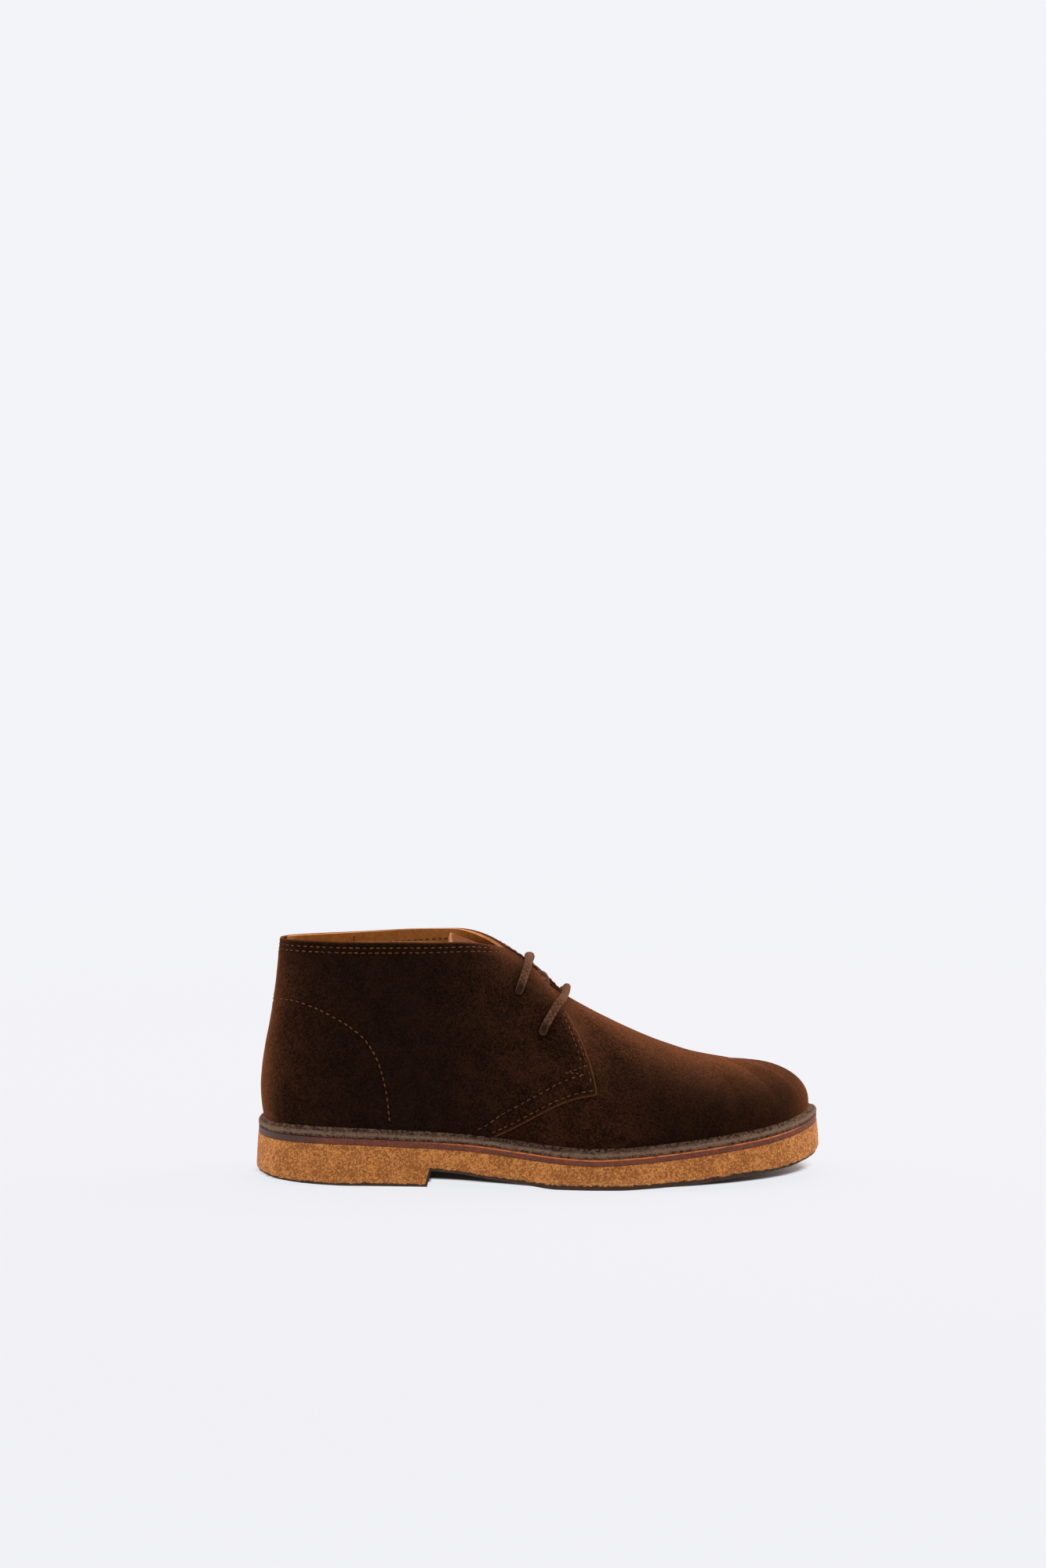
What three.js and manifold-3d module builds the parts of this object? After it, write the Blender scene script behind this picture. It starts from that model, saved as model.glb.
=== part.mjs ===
// Desert boot, right foot: stitchdown chukka with two eyelet pairs and a crepe sole.
// Millimetres. X runs from heel to toe, Y from the outer to the inner side, Z up from the floor.

import * as THREE from "three";
import * as BufferGeometryUtils from "three/addons/utils/BufferGeometryUtils.js";
import Module from "manifold-3d";

const wasm = await Module();
wasm.setup();

// Driving sizes of the last
const upperLength = 297;
const ballWidth = 98;
const collarWidth = 53;
const collarHeight = 128;
const toeHeight = 60.6;
const seatHeight = 27.5;
const heelBulge = 3.9;
const toeDrift = 6.5;

// Thicknesses and edges of the layers
const flangeWidth = 4.5;
const flangeThickness = 2.5;
const liningWall = 1.6;
const quarterStep = 1.3;
const rimDrop = 0.8;
const tongueThickness = 1.8;
const insoleThickness = 3;
const midsoleThickness = 3.3;
const midsoleProud = 0.1;
const clearance = 0.3;

// Crepe sole
const soleProud = 1.4;
const soleEdgeRadius = 2.4;
const breastHeight = 8.8;
const breastAt = 90;
const breastDepth = 2;
const toeLift = 13.5;

// Throat, eyelets and lace
const throatGap = 8.6;
const throatEnd = 163;
const laceDiameter = 3.9;
const holeClearance = 0.65;
const laceBend = 2.6;

// Fineness of the facets: ribs between stations, cross lines of the sole and the least share of the
// length between two, sides of the lace and of an eyelet, lace length of a facet in laceDiameter.
const ribsPerStation = 3;
const soleStations = 40;
const leastLineGap = 0.006;
const laceSides = 8;
const eyeletSides = 16;
const laceFacet = 0.7;

// Small steps for slopes: of the outline, of the top line, of the surface and up a rib; what still
// counts as on the ridge; points closer than this many millimetres are one.
const outlineStep = 1e-3;
const topStep = 0.05;
const stationStep = 0.02;
const riseStep = 0.02;
const onRidge = 0.01;
const samePoint = 1e-4;

// Turns rows of numbers into objects with the names of the columns.
function table(names, rows) {
  const columns = names.split(" ");
  return rows.map((row) => Object.fromEntries(columns.map((name, i) => [name, row[i]])));
}

// Stations of the last, from the back seam (first) to the toe (last).
// latAlong, medAlong, topAlong: shares of upperLength for the feather edge on each side and the top line.
// latOut, medOut: shares of half the ball width. topOut: share of half the collar width.
// topRise: share of the height between toe and collar. shaft: 1 upright wall, 0 arched vamp.
// bulge: share of heelBulge by which the wall swells past its chord. square: 0 round arch, 1 boxy arch.
const columns = "latAlong latOut medAlong medOut topAlong topOut topRise shaft bulge square";
const stations = table(columns, [
  [0.000, 0.00, 0.000, 0.00, 0.044, 0.00, 0.985, 1.00, 1.00, 0.0],
  [0.008, 0.31, 0.008, 0.31, 0.050, 0.16, 0.985, 1.00, 0.92, 0.0],
  [0.037, 0.56, 0.037, 0.55, 0.074, 0.36, 0.985, 1.00, 0.72, 0.0],
  [0.101, 0.68, 0.101, 0.66, 0.125, 0.56, 0.985, 1.00, 0.51, 0.0],
  [0.209, 0.71, 0.209, 0.68, 0.195, 0.74, 0.990, 1.00, 0.46, 0.0],
  [0.320, 0.76, 0.327, 0.63, 0.276, 0.91, 1.000, 1.00, 0.46, 0.0],
  [0.421, 0.84, 0.431, 0.66, 0.347, 0.97, 1.000, 0.85, 0.51, 0.0],
  [0.512, 0.93, 0.529, 0.79, 0.407, 0.66, 0.955, 0.50, 0.51, 0.0],
  [0.606, 1.00, 0.620, 0.93, 0.465, 0.00, 0.827, 0.00, 0.51, 0.1],
  [0.697, 0.99, 0.707, 1.00, 0.549, 0.00, 0.523, 0.00, 0.51, 0.3],
  [0.785, 0.92, 0.791, 0.99, 0.653, 0.00, 0.269, 0.00, 0.51, 0.6],
  [0.869, 0.78, 0.869, 0.88, 0.747, 0.00, 0.098, 0.00, 0.51, 0.85],
  [0.939, 0.56, 0.939, 0.70, 0.818, 0.00, 0.023, 0.00, 0.38, 0.7],
  [0.984, 0.27, 0.984, 0.45, 0.855, 0.00, 0.003, 0.00, 0.26, 0.5],
  [1.000, -0.08, 1.000, 0.08, 0.865, 0.00, 0.000, 0.00, 0.26, 0.4],
]);
const toeStation = stations.length - 1;
const ridgeStation = stations.findIndex((row) => row.shaft === 0);
const loop = 2 * toeStation;

// Height of the midsole's top along the shoe: along is a share of upperLength, rise of seatHeight.
const seatLine = table("at value", [
  [0.000, 1.000], [0.117, 0.945], [0.250, 0.890], [0.383, 0.830], [0.467, 0.727], [0.533, 0.647],
  [0.600, 0.611], [0.667, 0.647], [0.750, 0.735], [0.833, 0.836], [0.917, 0.955], [0.967, 1.070],
  [1.000, 1.180],
]);

// Swell of the wall over its chord, by the rise along a rib.
const swellLine = table("at value", [
  [0, 0], [0.08, 0.55], [0.18, 0.92], [0.28, 1], [0.4, 0.82], [0.55, 0.42], [0.75, 0.1], [1, 0],
]);

// Underside of the crepe behind the breast (share of toeLift) and ahead of it (share of breastHeight,
// then of toeLift), by the share of upperLength. Two stretches are flat on the floor.
const heelUnderside = table("at value", [[0, 0.29], [0.06, 0.13], [0.12, 0.04], [0.17, 0], [1, 0]]);
const archUnderside = table("at value", [
  [0.3, 1], [0.36, 0.84], [0.42, 0.52], [0.48, 0.22], [0.535, 0], [1, 0],
]);
const toeUnderside = table("at value", [
  [0, 0], [0.64, 0], [0.7, 0.07], [0.77, 0.19], [0.86, 0.39], [0.92, 0.545], [0.96, 0.69],
  [0.985, 0.84], [1, 1],
]);

// Front edge of the quarters: the station that it has reached at each rise along the ribs.
const quarterEdge = table("at value", [
  [0, 5.85], [0.05, 6.26], [0.1, 6.7], [0.148, 7.13], [0.188, 7.52], [0.225, 7.83], [0.262, 8.08],
  [0.34, 8.12], [0.5, 8.15], [0.7, 8.16], [0.83, 8.17], [0.89, 8.24], [0.95, 8.45], [1, 8.6],
]);

// Rises at which the ribs have vertices.
const ribRises = [0, 0.05, 0.12, 0.188, 0.262, 0.37, 0.5, 0.64, 0.77, 0.87, 0.94, 1];

// Eyelets on each side and the place where each lace bar crosses the ridge.
const lacing = table("station rise crossing", [
  [7.37, 0.476, 8.95],
  [7.19, 0.68, 8.14],
]);

// Tongue: station along the boot, where its side edge lies, its centre line behind the ridge and
// how squarely its ribs turn over there. From the ridge on it runs under the facings to tongueEnd.
const tongueRows = table("station edge along rise fullness", [
  [6, 0.84, 0.345, 1.03, 0.88], [6.5, 0.79, 0.372, 0.98, 0.78], [7, 0.73, 0.4, 0.93, 0.66],
  [7.5, 0.67, 0.433, 0.87, 0.5], [ridgeStation, 0.64, 0.465, 0.81, 0.42],
]);
const tongueEdge = tongueRows.at(-1).edge;
const tongueEnd = 9 + 2 / 3;

// Throat: the station at which the collar meets it, the highest rise of the quarters beside it, where
// its cut starts as a share of upperLength and how low it reaches between toe height and collar height.
const throat = { mouth: 7.6, highest: 0.965, start: 0.41, lowest: 0.2 };

const clamp = THREE.MathUtils.clamp;

// Slope at b that never overshoots its neighbours a and c.
function calmSlope(a, b, c) {
  const before = b - a;
  const after = c - b;
  if (before * after <= 0) {
    return 0;
  }
  const most = 3 * Math.min(Math.abs(before), Math.abs(after));
  return clamp((before + after) / 2, -most, most);
}

function hermite(from, to, slopeFrom, slopeTo, f) {
  const f2 = f * f;
  const f3 = f2 * f;
  return (2 * f3 - 3 * f2 + 1) * from + (f3 - 2 * f2 + f) * slopeFrom
    + (3 * f2 - 2 * f3) * to + (f3 - f2) * slopeTo;
}

// Smooth value of a table of at and value, flat stretches kept flat.
function along(line, at) {
  const last = line.length - 1;
  const x = clamp(at, line[0].at, line[last].at);
  let i = 0;
  while (i < last - 1 && x > line[i + 1].at) {
    i += 1;
  }
  const slope = (k) => {
    if (k === 0 || k === last) {
      const near = k === 0 ? 1 : last;
      return (line[near].value - line[near - 1].value) / (line[near].at - line[near - 1].at);
    }
    const before = (line[k].value - line[k - 1].value) / (line[k].at - line[k - 1].at);
    const after = (line[k + 1].value - line[k].value) / (line[k + 1].at - line[k].at);
    if (before * after <= 0) {
      return 0;
    }
    const most = 3 * Math.min(Math.abs(before), Math.abs(after));
    return clamp((before + after) / 2, -most, most);
  };
  const step = line[i + 1].at - line[i].at;
  const f = (x - line[i].at) / step;
  return hermite(line[i].value, line[i + 1].value, slope(i) * step, slope(i + 1) * step, f);
}

// Stations in a closed loop: back seam, outer side, toe, inner side, in millimetres.
const loopRows = Array.from({ length: loop }, (_, k) => {
  const outer = k <= toeStation;
  const row = stations[outer ? k : loop - k];
  const side = outer ? -1 : 1;
  return {
    x: upperLength * (outer ? row.latAlong : row.medAlong),
    y: side * (ballWidth / 2) * (outer ? row.latOut : row.medOut),
    topX: upperLength * row.topAlong,
    topY: side * (collarWidth / 2) * row.topOut,
    topZ: toeHeight + row.topRise * (collarHeight - toeHeight),
    shaft: row.shaft,
    bulge: heelBulge * row.bulge,
    square: row.square,
  };
});

function rowAt(station) {
  const t = ((station % loop) + loop) % loop;
  const i = Math.floor(t);
  const near = [-1, 0, 1, 2].map((j) => loopRows[(i + j + loop) % loop]);
  const result = {};
  for (const key of Object.keys(near[0])) {
    const [a, b, c, d] = near.map((row) => row[key]);
    result[key] = hermite(b, c, calmSlope(a, b, c), calmSlope(b, c, d), t - i);
  }
  return result;
}

function seat(x) {
  return seatHeight * along(seatLine, x / upperLength);
}

// Centre line of the vamp, which swings towards the big toe from a share of upperLength on.
const ridgeSwing = { start: 0.44, bend: 1.3 };

function ridgeY(x) {
  const from = ridgeSwing.start * upperLength;
  return toeDrift * clamp((x - from) / from, 0, 1) ** ridgeSwing.bend;
}

// Point of the flange's outline, moved outwards by grow.
function outline(station, grow = 0) {
  const here = rowAt(station);
  const before = rowAt(station - outlineStep);
  const after = rowAt(station + outlineStep);
  const run = new THREE.Vector2(after.x - before.x, after.y - before.y).normalize();
  return new THREE.Vector2(here.x + run.y * grow, here.y - run.x * grow);
}

// Gap between walls whose facets lie across each other and so come closer than their curves.
const crossClearance = 1.5 * clearance;

// Top of the flange above the seat line.
const flangeTop = clearance + flangeThickness;

// How far a boxy arch departs from a round one, how soon any arch climbs, and its steepest fall ahead.
const arch = { square: 0.22, lift: 0.93, fall: 1.2 };

// A rib from the feather line to a top point: an arch over the vamp, nearly straight in the shaft.
function ribPoint(station, rise, top, shaft, ridgeFall) {
  const foot = outline(station, -flangeWidth);
  const edge = outline(station);
  const out = edge.clone().sub(foot).normalize();
  const footZ = seat(foot.x) + flangeTop;
  const angle = rise * Math.PI / 2;
  const power = 1 - arch.square * top.square;
  const inward = (1 - Math.abs(Math.cos(angle)) ** power) * (1 - shaft) + rise * shaft;
  const upward = Math.sin(angle) ** (power * arch.lift) * (1 - shaft) + rise * shaft;
  const runX = top.x - foot.x;
  const runY = top.y - foot.y;
  const lean = -ridgeFall * (1 - shaft) * runX;
  const swell = top.bulge * along(swellLine, rise);
  return new THREE.Vector3(
    foot.x + runX * inward + out.x * swell,
    foot.y + runY * inward + out.y * swell,
    footZ + lean * inward + (top.z - footZ - lean) * upward,
  );
}

function lastPoint(station, rise) {
  const row = rowAt(station);
  const before = rowAt(station - topStep);
  const after = rowAt(station + topStep);
  const run = after.topX - before.topX;
  const fall = Math.abs(run) < outlineStep ? 0 : -(after.topZ - before.topZ) / run;
  const top = { ...row, x: row.topX, y: row.topY + ridgeY(row.topX), z: row.topZ };
  return ribPoint(station, rise, top, clamp(row.shaft, 0, 1), clamp(fall, 0, arch.fall));
}

function normalOf(pointAt, station, rise) {
  const low = Math.max(rise - riseStep, 0);
  const high = Math.min(rise + riseStep, 1);
  const across = pointAt(station + stationStep, rise).sub(pointAt(station - stationStep, rise));
  const up = pointAt(station, high).sub(pointAt(station, low));
  return across.cross(up).normalize();
}

// Point of the last moved out by a distance; both sides agree on the ridge.
function skin(station, rise, offset, pointAt = lastPoint) {
  const normal = normalOf(pointAt, station, rise);
  if (rise === 1 && Math.min(station, loop - station) > ridgeStation - onRidge) {
    normal.add(normalOf(pointAt, loop - station, rise)).normalize();
  }
  return pointAt(station, rise).addScaledVector(normal, offset);
}

// Closed mesh from points and faces given as index lists.
function meshSolid(points, faces) {
  const geometry = new THREE.BufferGeometry();
  const numbers = points.flatMap((p) => [p.x, p.y, p.z]);
  geometry.setAttribute("position", new THREE.Float32BufferAttribute(numbers, 3));
  geometry.setIndex(faces.flat());
  return toSolid(geometry);
}

function toSolid(geometry) {
  const bare = geometry.clone();
  bare.deleteAttribute("normal");
  bare.deleteAttribute("uv");
  const merged = BufferGeometryUtils.mergeVertices(bare, samePoint);
  const index = merged.getIndex().array;
  const triVerts = [];
  for (let i = 0; i < index.length; i += 3) {
    const [a, b, c] = [index[i], index[i + 1], index[i + 2]];
    if (a !== b && b !== c && c !== a) {
      triVerts.push(a, b, c);
    }
  }
  return new wasm.Manifold(new wasm.Mesh({
    numProp: 3,
    vertProperties: new Float32Array(merged.getAttribute("position").array),
    triVerts: new Uint32Array(triVerts),
  }));
}

function toGeometry(solid) {
  const mesh = solid.getMesh();
  const geometry = new THREE.BufferGeometry();
  geometry.setAttribute("position", new THREE.Float32BufferAttribute(mesh.vertProperties, 3));
  geometry.setIndex(Array.from(mesh.triVerts));
  return geometry;
}

// Two triangles for a quad, split along the diagonal that lies higher on a swelling surface (fold 1)
// or lower on the inside of one (fold -1).
function splitQuad(points, [a, b, c, d], fold) {
  const [pa, pb, pc, pd] = [a, b, c, d].map((i) => points[i]);
  const middleGap = pb.clone().add(pd).sub(pa).sub(pc);
  const normal = pc.clone().sub(pa).cross(pd.clone().sub(pb));
  if (middleGap.dot(normal) * fold > 0) {
    return [[a, b, d], [b, c, d]];
  }
  return [[a, b, c], [a, c, d]];
}

// Faces of a grid of rows; each row is a list of point indices.
function gridFaces(points, rows, closed, fold = 1) {
  const faces = [];
  const count = closed ? rows.length : rows.length - 1;
  for (let i = 0; i < count; i += 1) {
    const here = rows[i];
    const next = rows[(i + 1) % rows.length];
    for (let j = 0; j < here.length - 1; j += 1) {
      faces.push(...splitQuad(points, [here[j], next[j], next[j + 1], here[j + 1]], fold));
    }
  }
  return faces;
}

// Share of a rib at which the lining stops, just under the collar's rim.
function liningTop(station) {
  const near = Math.min(station, loop - station);
  const drop = rimDrop / (collarHeight - seatHeight);
  return 1 - drop * clamp((ridgeStation - near) * ribsPerStation, 0, 1);
}

// Vamp and lining with the flange turned out on the midsole, as one shell.
function shellSolid() {
  const points = [];
  const add = (p) => points.push(p) - 1;
  const outer = [];
  const inner = [];
  const hem = [];
  const rim = [];
  for (let k = 0; k < loop * ribsPerStation; k += 1) {
    const station = k / ribsPerStation;
    const top = liningTop(station);
    const hemPoint = (grow, lift) => {
      const at = outline(station, grow);
      return new THREE.Vector3(at.x, at.y, seat(at.x) + lift);
    };
    const wall = ribRises.map((rise) => add(skin(station, rise === 1 ? top : rise, 0)));
    const lining = ribRises.map((rise) => add(skin(station, rise === 1 ? top : rise, -liningWall)));
    const edge = [
      add(hemPoint(-flangeWidth - liningWall, clearance)),
      add(hemPoint(0, clearance)),
      add(hemPoint(0, flangeTop)),
    ];
    outer.push(wall);
    inner.push([...lining].reverse());
    hem.push([lining[0], ...edge, wall[0]]);
    rim.push([wall.at(-1), lining.at(-1)]);
  }
  const back = ridgeStation * ribsPerStation;
  const front = (loop - ridgeStation) * ribsPerStation;
  const collar = [...rim.slice(front), ...rim.slice(0, back + 1)];
  const faces = [
    ...gridFaces(points, outer, true),
    ...gridFaces(points, inner, true, -1),
    ...gridFaces(points, hem, true),
    ...gridFaces(points, collar, false),
  ];
  return meshSolid(points, faces);
}

// Both quarters in one piece round the heel, laid over the shell as a step in its wall.
function quarterSolid() {
  const points = [];
  const add = (p) => points.push(p) - 1;
  const count = Math.ceil(quarterEdge.at(-1).value * ribsPerStation);
  const rows = [];
  for (let k = -count; k <= count; k += 1) {
    const ring = [];
    const place = (rise, offset) => {
      const reach = Math.min(Math.abs(k) / ribsPerStation, along(quarterEdge, rise));
      const stop = 1 - (1 - throat.highest) * clamp((reach - throat.mouth) * ribsPerStation, 0, 1);
      const station = k < 0 ? loop - reach : reach;
      const point = skin(station, Math.min(rise, stop), offset);
      // The lowest points sink into the flange, so that the two layers join.
      point.z -= rise === 0 ? flangeThickness / 2 : 0;
      return add(point);
    };
    for (const rise of ribRises) {
      ring.push(place(rise, quarterStep));
    }
    for (const rise of [...ribRises].reverse()) {
      ring.push(place(rise, -liningWall / 2));
    }
    rows.push(ring);
  }
  const half = ribRises.length;
  const faces = [
    ...gridFaces(points, rows.map((ring) => ring.slice(0, half)), false),
    ...gridFaces(points, rows.map((ring) => ring.slice(half)), false, -1),
    ...gridFaces(points, rows.map((ring) => [ring[half - 1], ring[half]]), false),
    ...gridFaces(points, rows.map((ring) => [ring.at(-1), ring[0]]), false),
  ];
  const cap = (ring, flip) => {
    for (let j = 0; j < half - 1; j += 1) {
      const [a, b] = [ring[j], ring[j + 1]];
      const [c, d] = [ring[2 * half - 2 - j], ring[2 * half - 1 - j]];
      const quad = [[a, b, c], [a, c, d]];
      quad.forEach((face) => faces.push(flip ? [face[0], face[2], face[1]] : face));
    }
  };
  cap(rows[0], false);
  cap(rows.at(-1), true);
  return meshSolid(points, faces);
}

// Slot between the facings, from the collar down to the vamp's upper edge.
function throatSolid() {
  const half = throatGap / 2;
  const from = throat.start * upperLength;
  const shape = new THREE.Shape();
  const nose = throatEnd - half;
  shape.moveTo(from, -half);
  shape.lineTo(nose, ridgeY(nose) - half);
  shape.absarc(nose, ridgeY(nose), half, -Math.PI / 2, Math.PI / 2, false);
  shape.lineTo(from, half);
  shape.closePath();
  const low = toeHeight + throat.lowest * (collarHeight - toeHeight);
  const geometry = new THREE.ExtrudeGeometry(shape, {
    depth: collarHeight, bevelEnabled: false, curveSegments: ribsPerStation * 2,
  });
  geometry.translate(0, 0, low);
  return toSolid(geometry);
}

function eyeletSolid(station, rise) {
  const at = lastPoint(station, rise);
  const normal = normalOf(lastPoint, station, rise);
  const radius = laceDiameter / 2 + holeClearance;
  const geometry = new THREE.CylinderGeometry(radius, radius, 4 * (liningWall + quarterStep), eyeletSides);
  const turn = new THREE.Quaternion().setFromUnitVectors(new THREE.Vector3(0, 1, 0), normal);
  geometry.applyQuaternion(turn);
  geometry.translate(at.x, at.y, at.z);
  return toSolid(geometry);
}

function upperSolid() {
  let solid = shellSolid().add(quarterSolid()).subtract(throatSolid());
  for (const { station, rise } of lacing) {
    solid = solid.subtract(eyeletSolid(station, rise)).subtract(eyeletSolid(loop - station, rise));
  }
  return solid;
}

// Tongue's own surface behind the ridge: each rib leaves the wall at the tongue's side edge and turns
// over to the tongue's centre line, squarer towards its top.
function tonguePoint(station, rise) {
  const near = Math.min(station, loop - station);
  const line = (key) => tongueRows.map((row) => ({ at: row.station, value: row[key] }));
  const edge = along(line("edge"), near);
  const x = upperLength * along(line("along"), near);
  const topZ = toeHeight + along(line("rise"), near) * (collarHeight - toeHeight);
  const top = new THREE.Vector3(x, ridgeY(x), topZ);
  const foot = lastPoint(station, edge);
  const wall = lastPoint(station, edge + riseStep).sub(foot);
  const corner = foot.clone().addScaledVector(wall, (top.z - foot.z) / wall.z);
  const fullness = along(line("fullness"), near);
  const rib = new THREE.CubicBezierCurve3(
    foot, foot.clone().lerp(corner, fullness), top.clone().lerp(corner, fullness), top,
  );
  return rib.getPoint(clamp((rise - edge) / (1 - edge), 0, 1));
}

function tongueSolid() {
  const points = [];
  const add = (p) => points.push(p) - 1;
  const top = -(liningWall + crossClearance);
  const under = top - tongueThickness;
  const edgeLine = tongueRows.map((row) => ({ at: row.station, value: row.edge }));
  const rises = ribRises.filter((rise) => rise >= tongueEdge);
  const rows = [];
  const first = tongueRows[0].station;
  const count = Math.round((tongueEnd - first) * ribsPerStation);
  for (let i = 0; i <= count; i += 1) {
    const near = tongueEnd - i / ribsPerStation;
    const spread = (1 - along(edgeLine, near)) / (1 - tongueEdge);
    const layer = (offset) => {
      const side = (station) => rises.map((rise) => {
        const surface = near > ridgeStation - onRidge ? lastPoint : tonguePoint;
        return add(skin(station, 1 - (1 - rise) * spread, offset, surface));
      });
      return [...side(near), ...side(loop - near).reverse().slice(1)];
    };
    const upper = layer(top);
    const lower = layer(under).reverse();
    rows.unshift([...upper, ...lower]);
  }
  const half = rows[0].length / 2;
  const faces = [
    ...gridFaces(points, rows.map((ring) => ring.slice(0, half)), false),
    ...gridFaces(points, rows.map((ring) => ring.slice(half)), false, -1),
    ...gridFaces(points, rows.map((ring) => [ring[half - 1], ring[half]]), false),
    ...gridFaces(points, rows.map((ring) => [ring.at(-1), ring[0]]), false),
  ];
  const cap = (ring, flip) => {
    for (let j = 0; j < half - 1; j += 1) {
      const quad = [
        [ring[j], ring[j + 1], ring[2 * half - 2 - j]],
        [ring[j], ring[2 * half - 2 - j], ring[2 * half - 1 - j]],
      ];
      quad.forEach((face) => faces.push(flip ? [face[0], face[2], face[1]] : face));
    }
  };
  cap(rows[0], false);
  cap(rows.at(-1), true);
  return meshSolid(points, faces);
}

// Station at which one side of the outline, grown by a distance, reaches x.
function stationAt(x, grow, innerSide) {
  let low = 0;
  let high = toeStation;
  while (high - low > samePoint ** 2) {
    const middle = (low + high) / 2;
    if (outline(innerSide ? loop - middle : middle, grow).x < x) {
      low = middle;
    } else {
      high = middle;
    }
  }
  const found = (low + high) / 2;
  return innerSide ? loop - found : found;
}

// Shares of the length at which the sole has cross lines, close together at both ends.
function soleShares(extra) {
  const shares = Array.from({ length: soleStations + 1 }, (_, k) => {
    return (1 - Math.cos(Math.PI * k / soleStations)) / 2;
  });
  const spaced = shares.filter((share) => {
    return extra.every((other) => Math.abs(share - other) > leastLineGap);
  });
  return [...spaced, ...extra].sort((a, b) => a - b);
}

// A plate between rings: each ring has a growth of the outline and a height at a nominal x and own x.
function plateSolid(rings, extra = []) {
  const points = [];
  const add = (p) => points.push(p) - 1;
  const shares = soleShares(extra);
  const ringRows = rings.map(({ grow, height }) => {
    const place = (share, innerSide) => {
      const x = (upperLength + 2 * grow) * share - grow;
      const end = share <= 0 || share >= 1;
      const station = end ? share * toeStation : stationAt(x, grow, innerSide);
      const at = outline(station, grow);
      return add(new THREE.Vector3(at.x, at.y, height(share * upperLength, at.x)));
    };
    const outerSide = shares.map((share) => place(share, false));
    const innerSide = shares.slice(1, -1).map((share) => place(share, true));
    return { outerSide, innerSide: [outerSide[0], ...innerSide, outerSide.at(-1)] };
  });
  const faces = [];
  const ladder = ({ outerSide, innerSide }, flip) => {
    for (let i = 0; i < outerSide.length - 1; i += 1) {
      const quad = [
        [outerSide[i], outerSide[i + 1], innerSide[i + 1]],
        [outerSide[i], innerSide[i + 1], innerSide[i]],
      ];
      quad.forEach((face) => faces.push(flip ? [face[0], face[2], face[1]] : face));
    }
  };
  ladder(ringRows[0], false);
  ladder(ringRows.at(-1), true);
  const loops = ringRows.map(({ outerSide, innerSide }) => {
    return [...outerSide, ...innerSide.slice(1, -1).reverse()];
  });
  const walls = loops[0].map((_, i) => loops.map((ring) => ring[i]).reverse());
  faces.push(...gridFaces(points, walls, true));
  return meshSolid(points, faces);
}

function underside(x) {
  const share = x / upperLength;
  if (x <= breastAt) {
    return toeLift * along(heelUnderside, share);
  }
  return breastHeight * along(archUnderside, share) + toeLift * along(toeUnderside, share);
}

// Shares of soleProud by which the crepe's side stands out at its top and half way down.
const soleFlare = { top: 0.15, middle: 0.65 };

function outsoleSolid() {
  const topDrop = midsoleThickness + clearance;
  const breast = [breastAt / upperLength, (breastAt + breastDepth) / upperLength];
  const wallMiddle = (x, own) => (underside(x) + soleEdgeRadius + seat(own) - topDrop) / 2;
  const chamfer = soleEdgeRadius * (1 - Math.SQRT1_2);
  return plateSolid([
    { grow: soleProud * soleFlare.top, height: (x, own) => seat(own) - topDrop },
    { grow: soleProud * soleFlare.middle, height: wallMiddle },
    { grow: soleProud, height: (x) => underside(x) + soleEdgeRadius },
    { grow: soleProud - chamfer, height: (x) => underside(x) + chamfer },
    { grow: soleProud - soleEdgeRadius, height: (x) => underside(x) },
  ], breast);
}

function midsoleSolid() {
  return plateSolid([
    { grow: midsoleProud, height: (x, own) => seat(own) },
    { grow: midsoleProud, height: (x, own) => seat(own) - midsoleThickness },
  ]);
}

function insoleSolid() {
  const grow = -(flangeWidth + liningWall + crossClearance);
  return plateSolid([
    { grow, height: (x, own) => seat(own) + clearance + insoleThickness },
    { grow, height: (x, own) => seat(own) + clearance },
  ]);
}

function cord(path) {
  const radius = laceDiameter / 2;
  const shape = new THREE.Shape(Array.from({ length: laceSides }, (_, i) => {
    const angle = 2 * Math.PI * i / laceSides;
    return new THREE.Vector2(radius * Math.cos(angle), radius * Math.sin(angle));
  }));
  const curve = new THREE.CatmullRomCurve3(path, false, "centripetal");
  const steps = Math.round(curve.getLength() / (laceFacet * laceDiameter));
  return toSolid(new THREE.ExtrudeGeometry(shape, { steps, extrudePath: curve, bevelEnabled: false }));
}

// Height of a lace's centre over the last where it lies on the facings.
const laceLift = quarterStep + 2 * clearance + laceDiameter / 2;

// One bar: up out of an eyelet, over the ridge and down into the eyelet of the other side.
function barPath({ station, rise, crossing }) {
  const half = (innerSide) => {
    const on = (t, v, offset) => skin(innerSide ? loop - t : t, v, offset);
    const hole = on(station, rise, 0);
    const axis = on(station, rise, 1).sub(hole);
    const ahead = on(station + 0.1 * (crossing - station), rise + 0.1 * (1 - rise), 0).sub(hole);
    const run = ahead.addScaledVector(axis, -ahead.dot(axis)).normalize();
    const arc = [0, 0.33, 0.66, 1].map((f) => {
      const angle = f * Math.PI / 2;
      return hole.clone()
        .addScaledVector(run, laceBend * (1 - Math.cos(angle)))
        .addScaledVector(axis, laceLift - laceBend * (1 - Math.sin(angle)));
    });
    const end = hole.clone().addScaledVector(axis, clearance - liningWall);
    const flight = [0.3, 0.44, 0.58, 0.72, 0.86].map((f) => {
      return on(station + f * (crossing - station), rise + f * (1 - rise), laceLift);
    });
    return [end, ...arc, ...flight];
  };
  return [...half(false), skin(crossing, 1, laceLift), ...half(true).reverse()];
}

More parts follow.
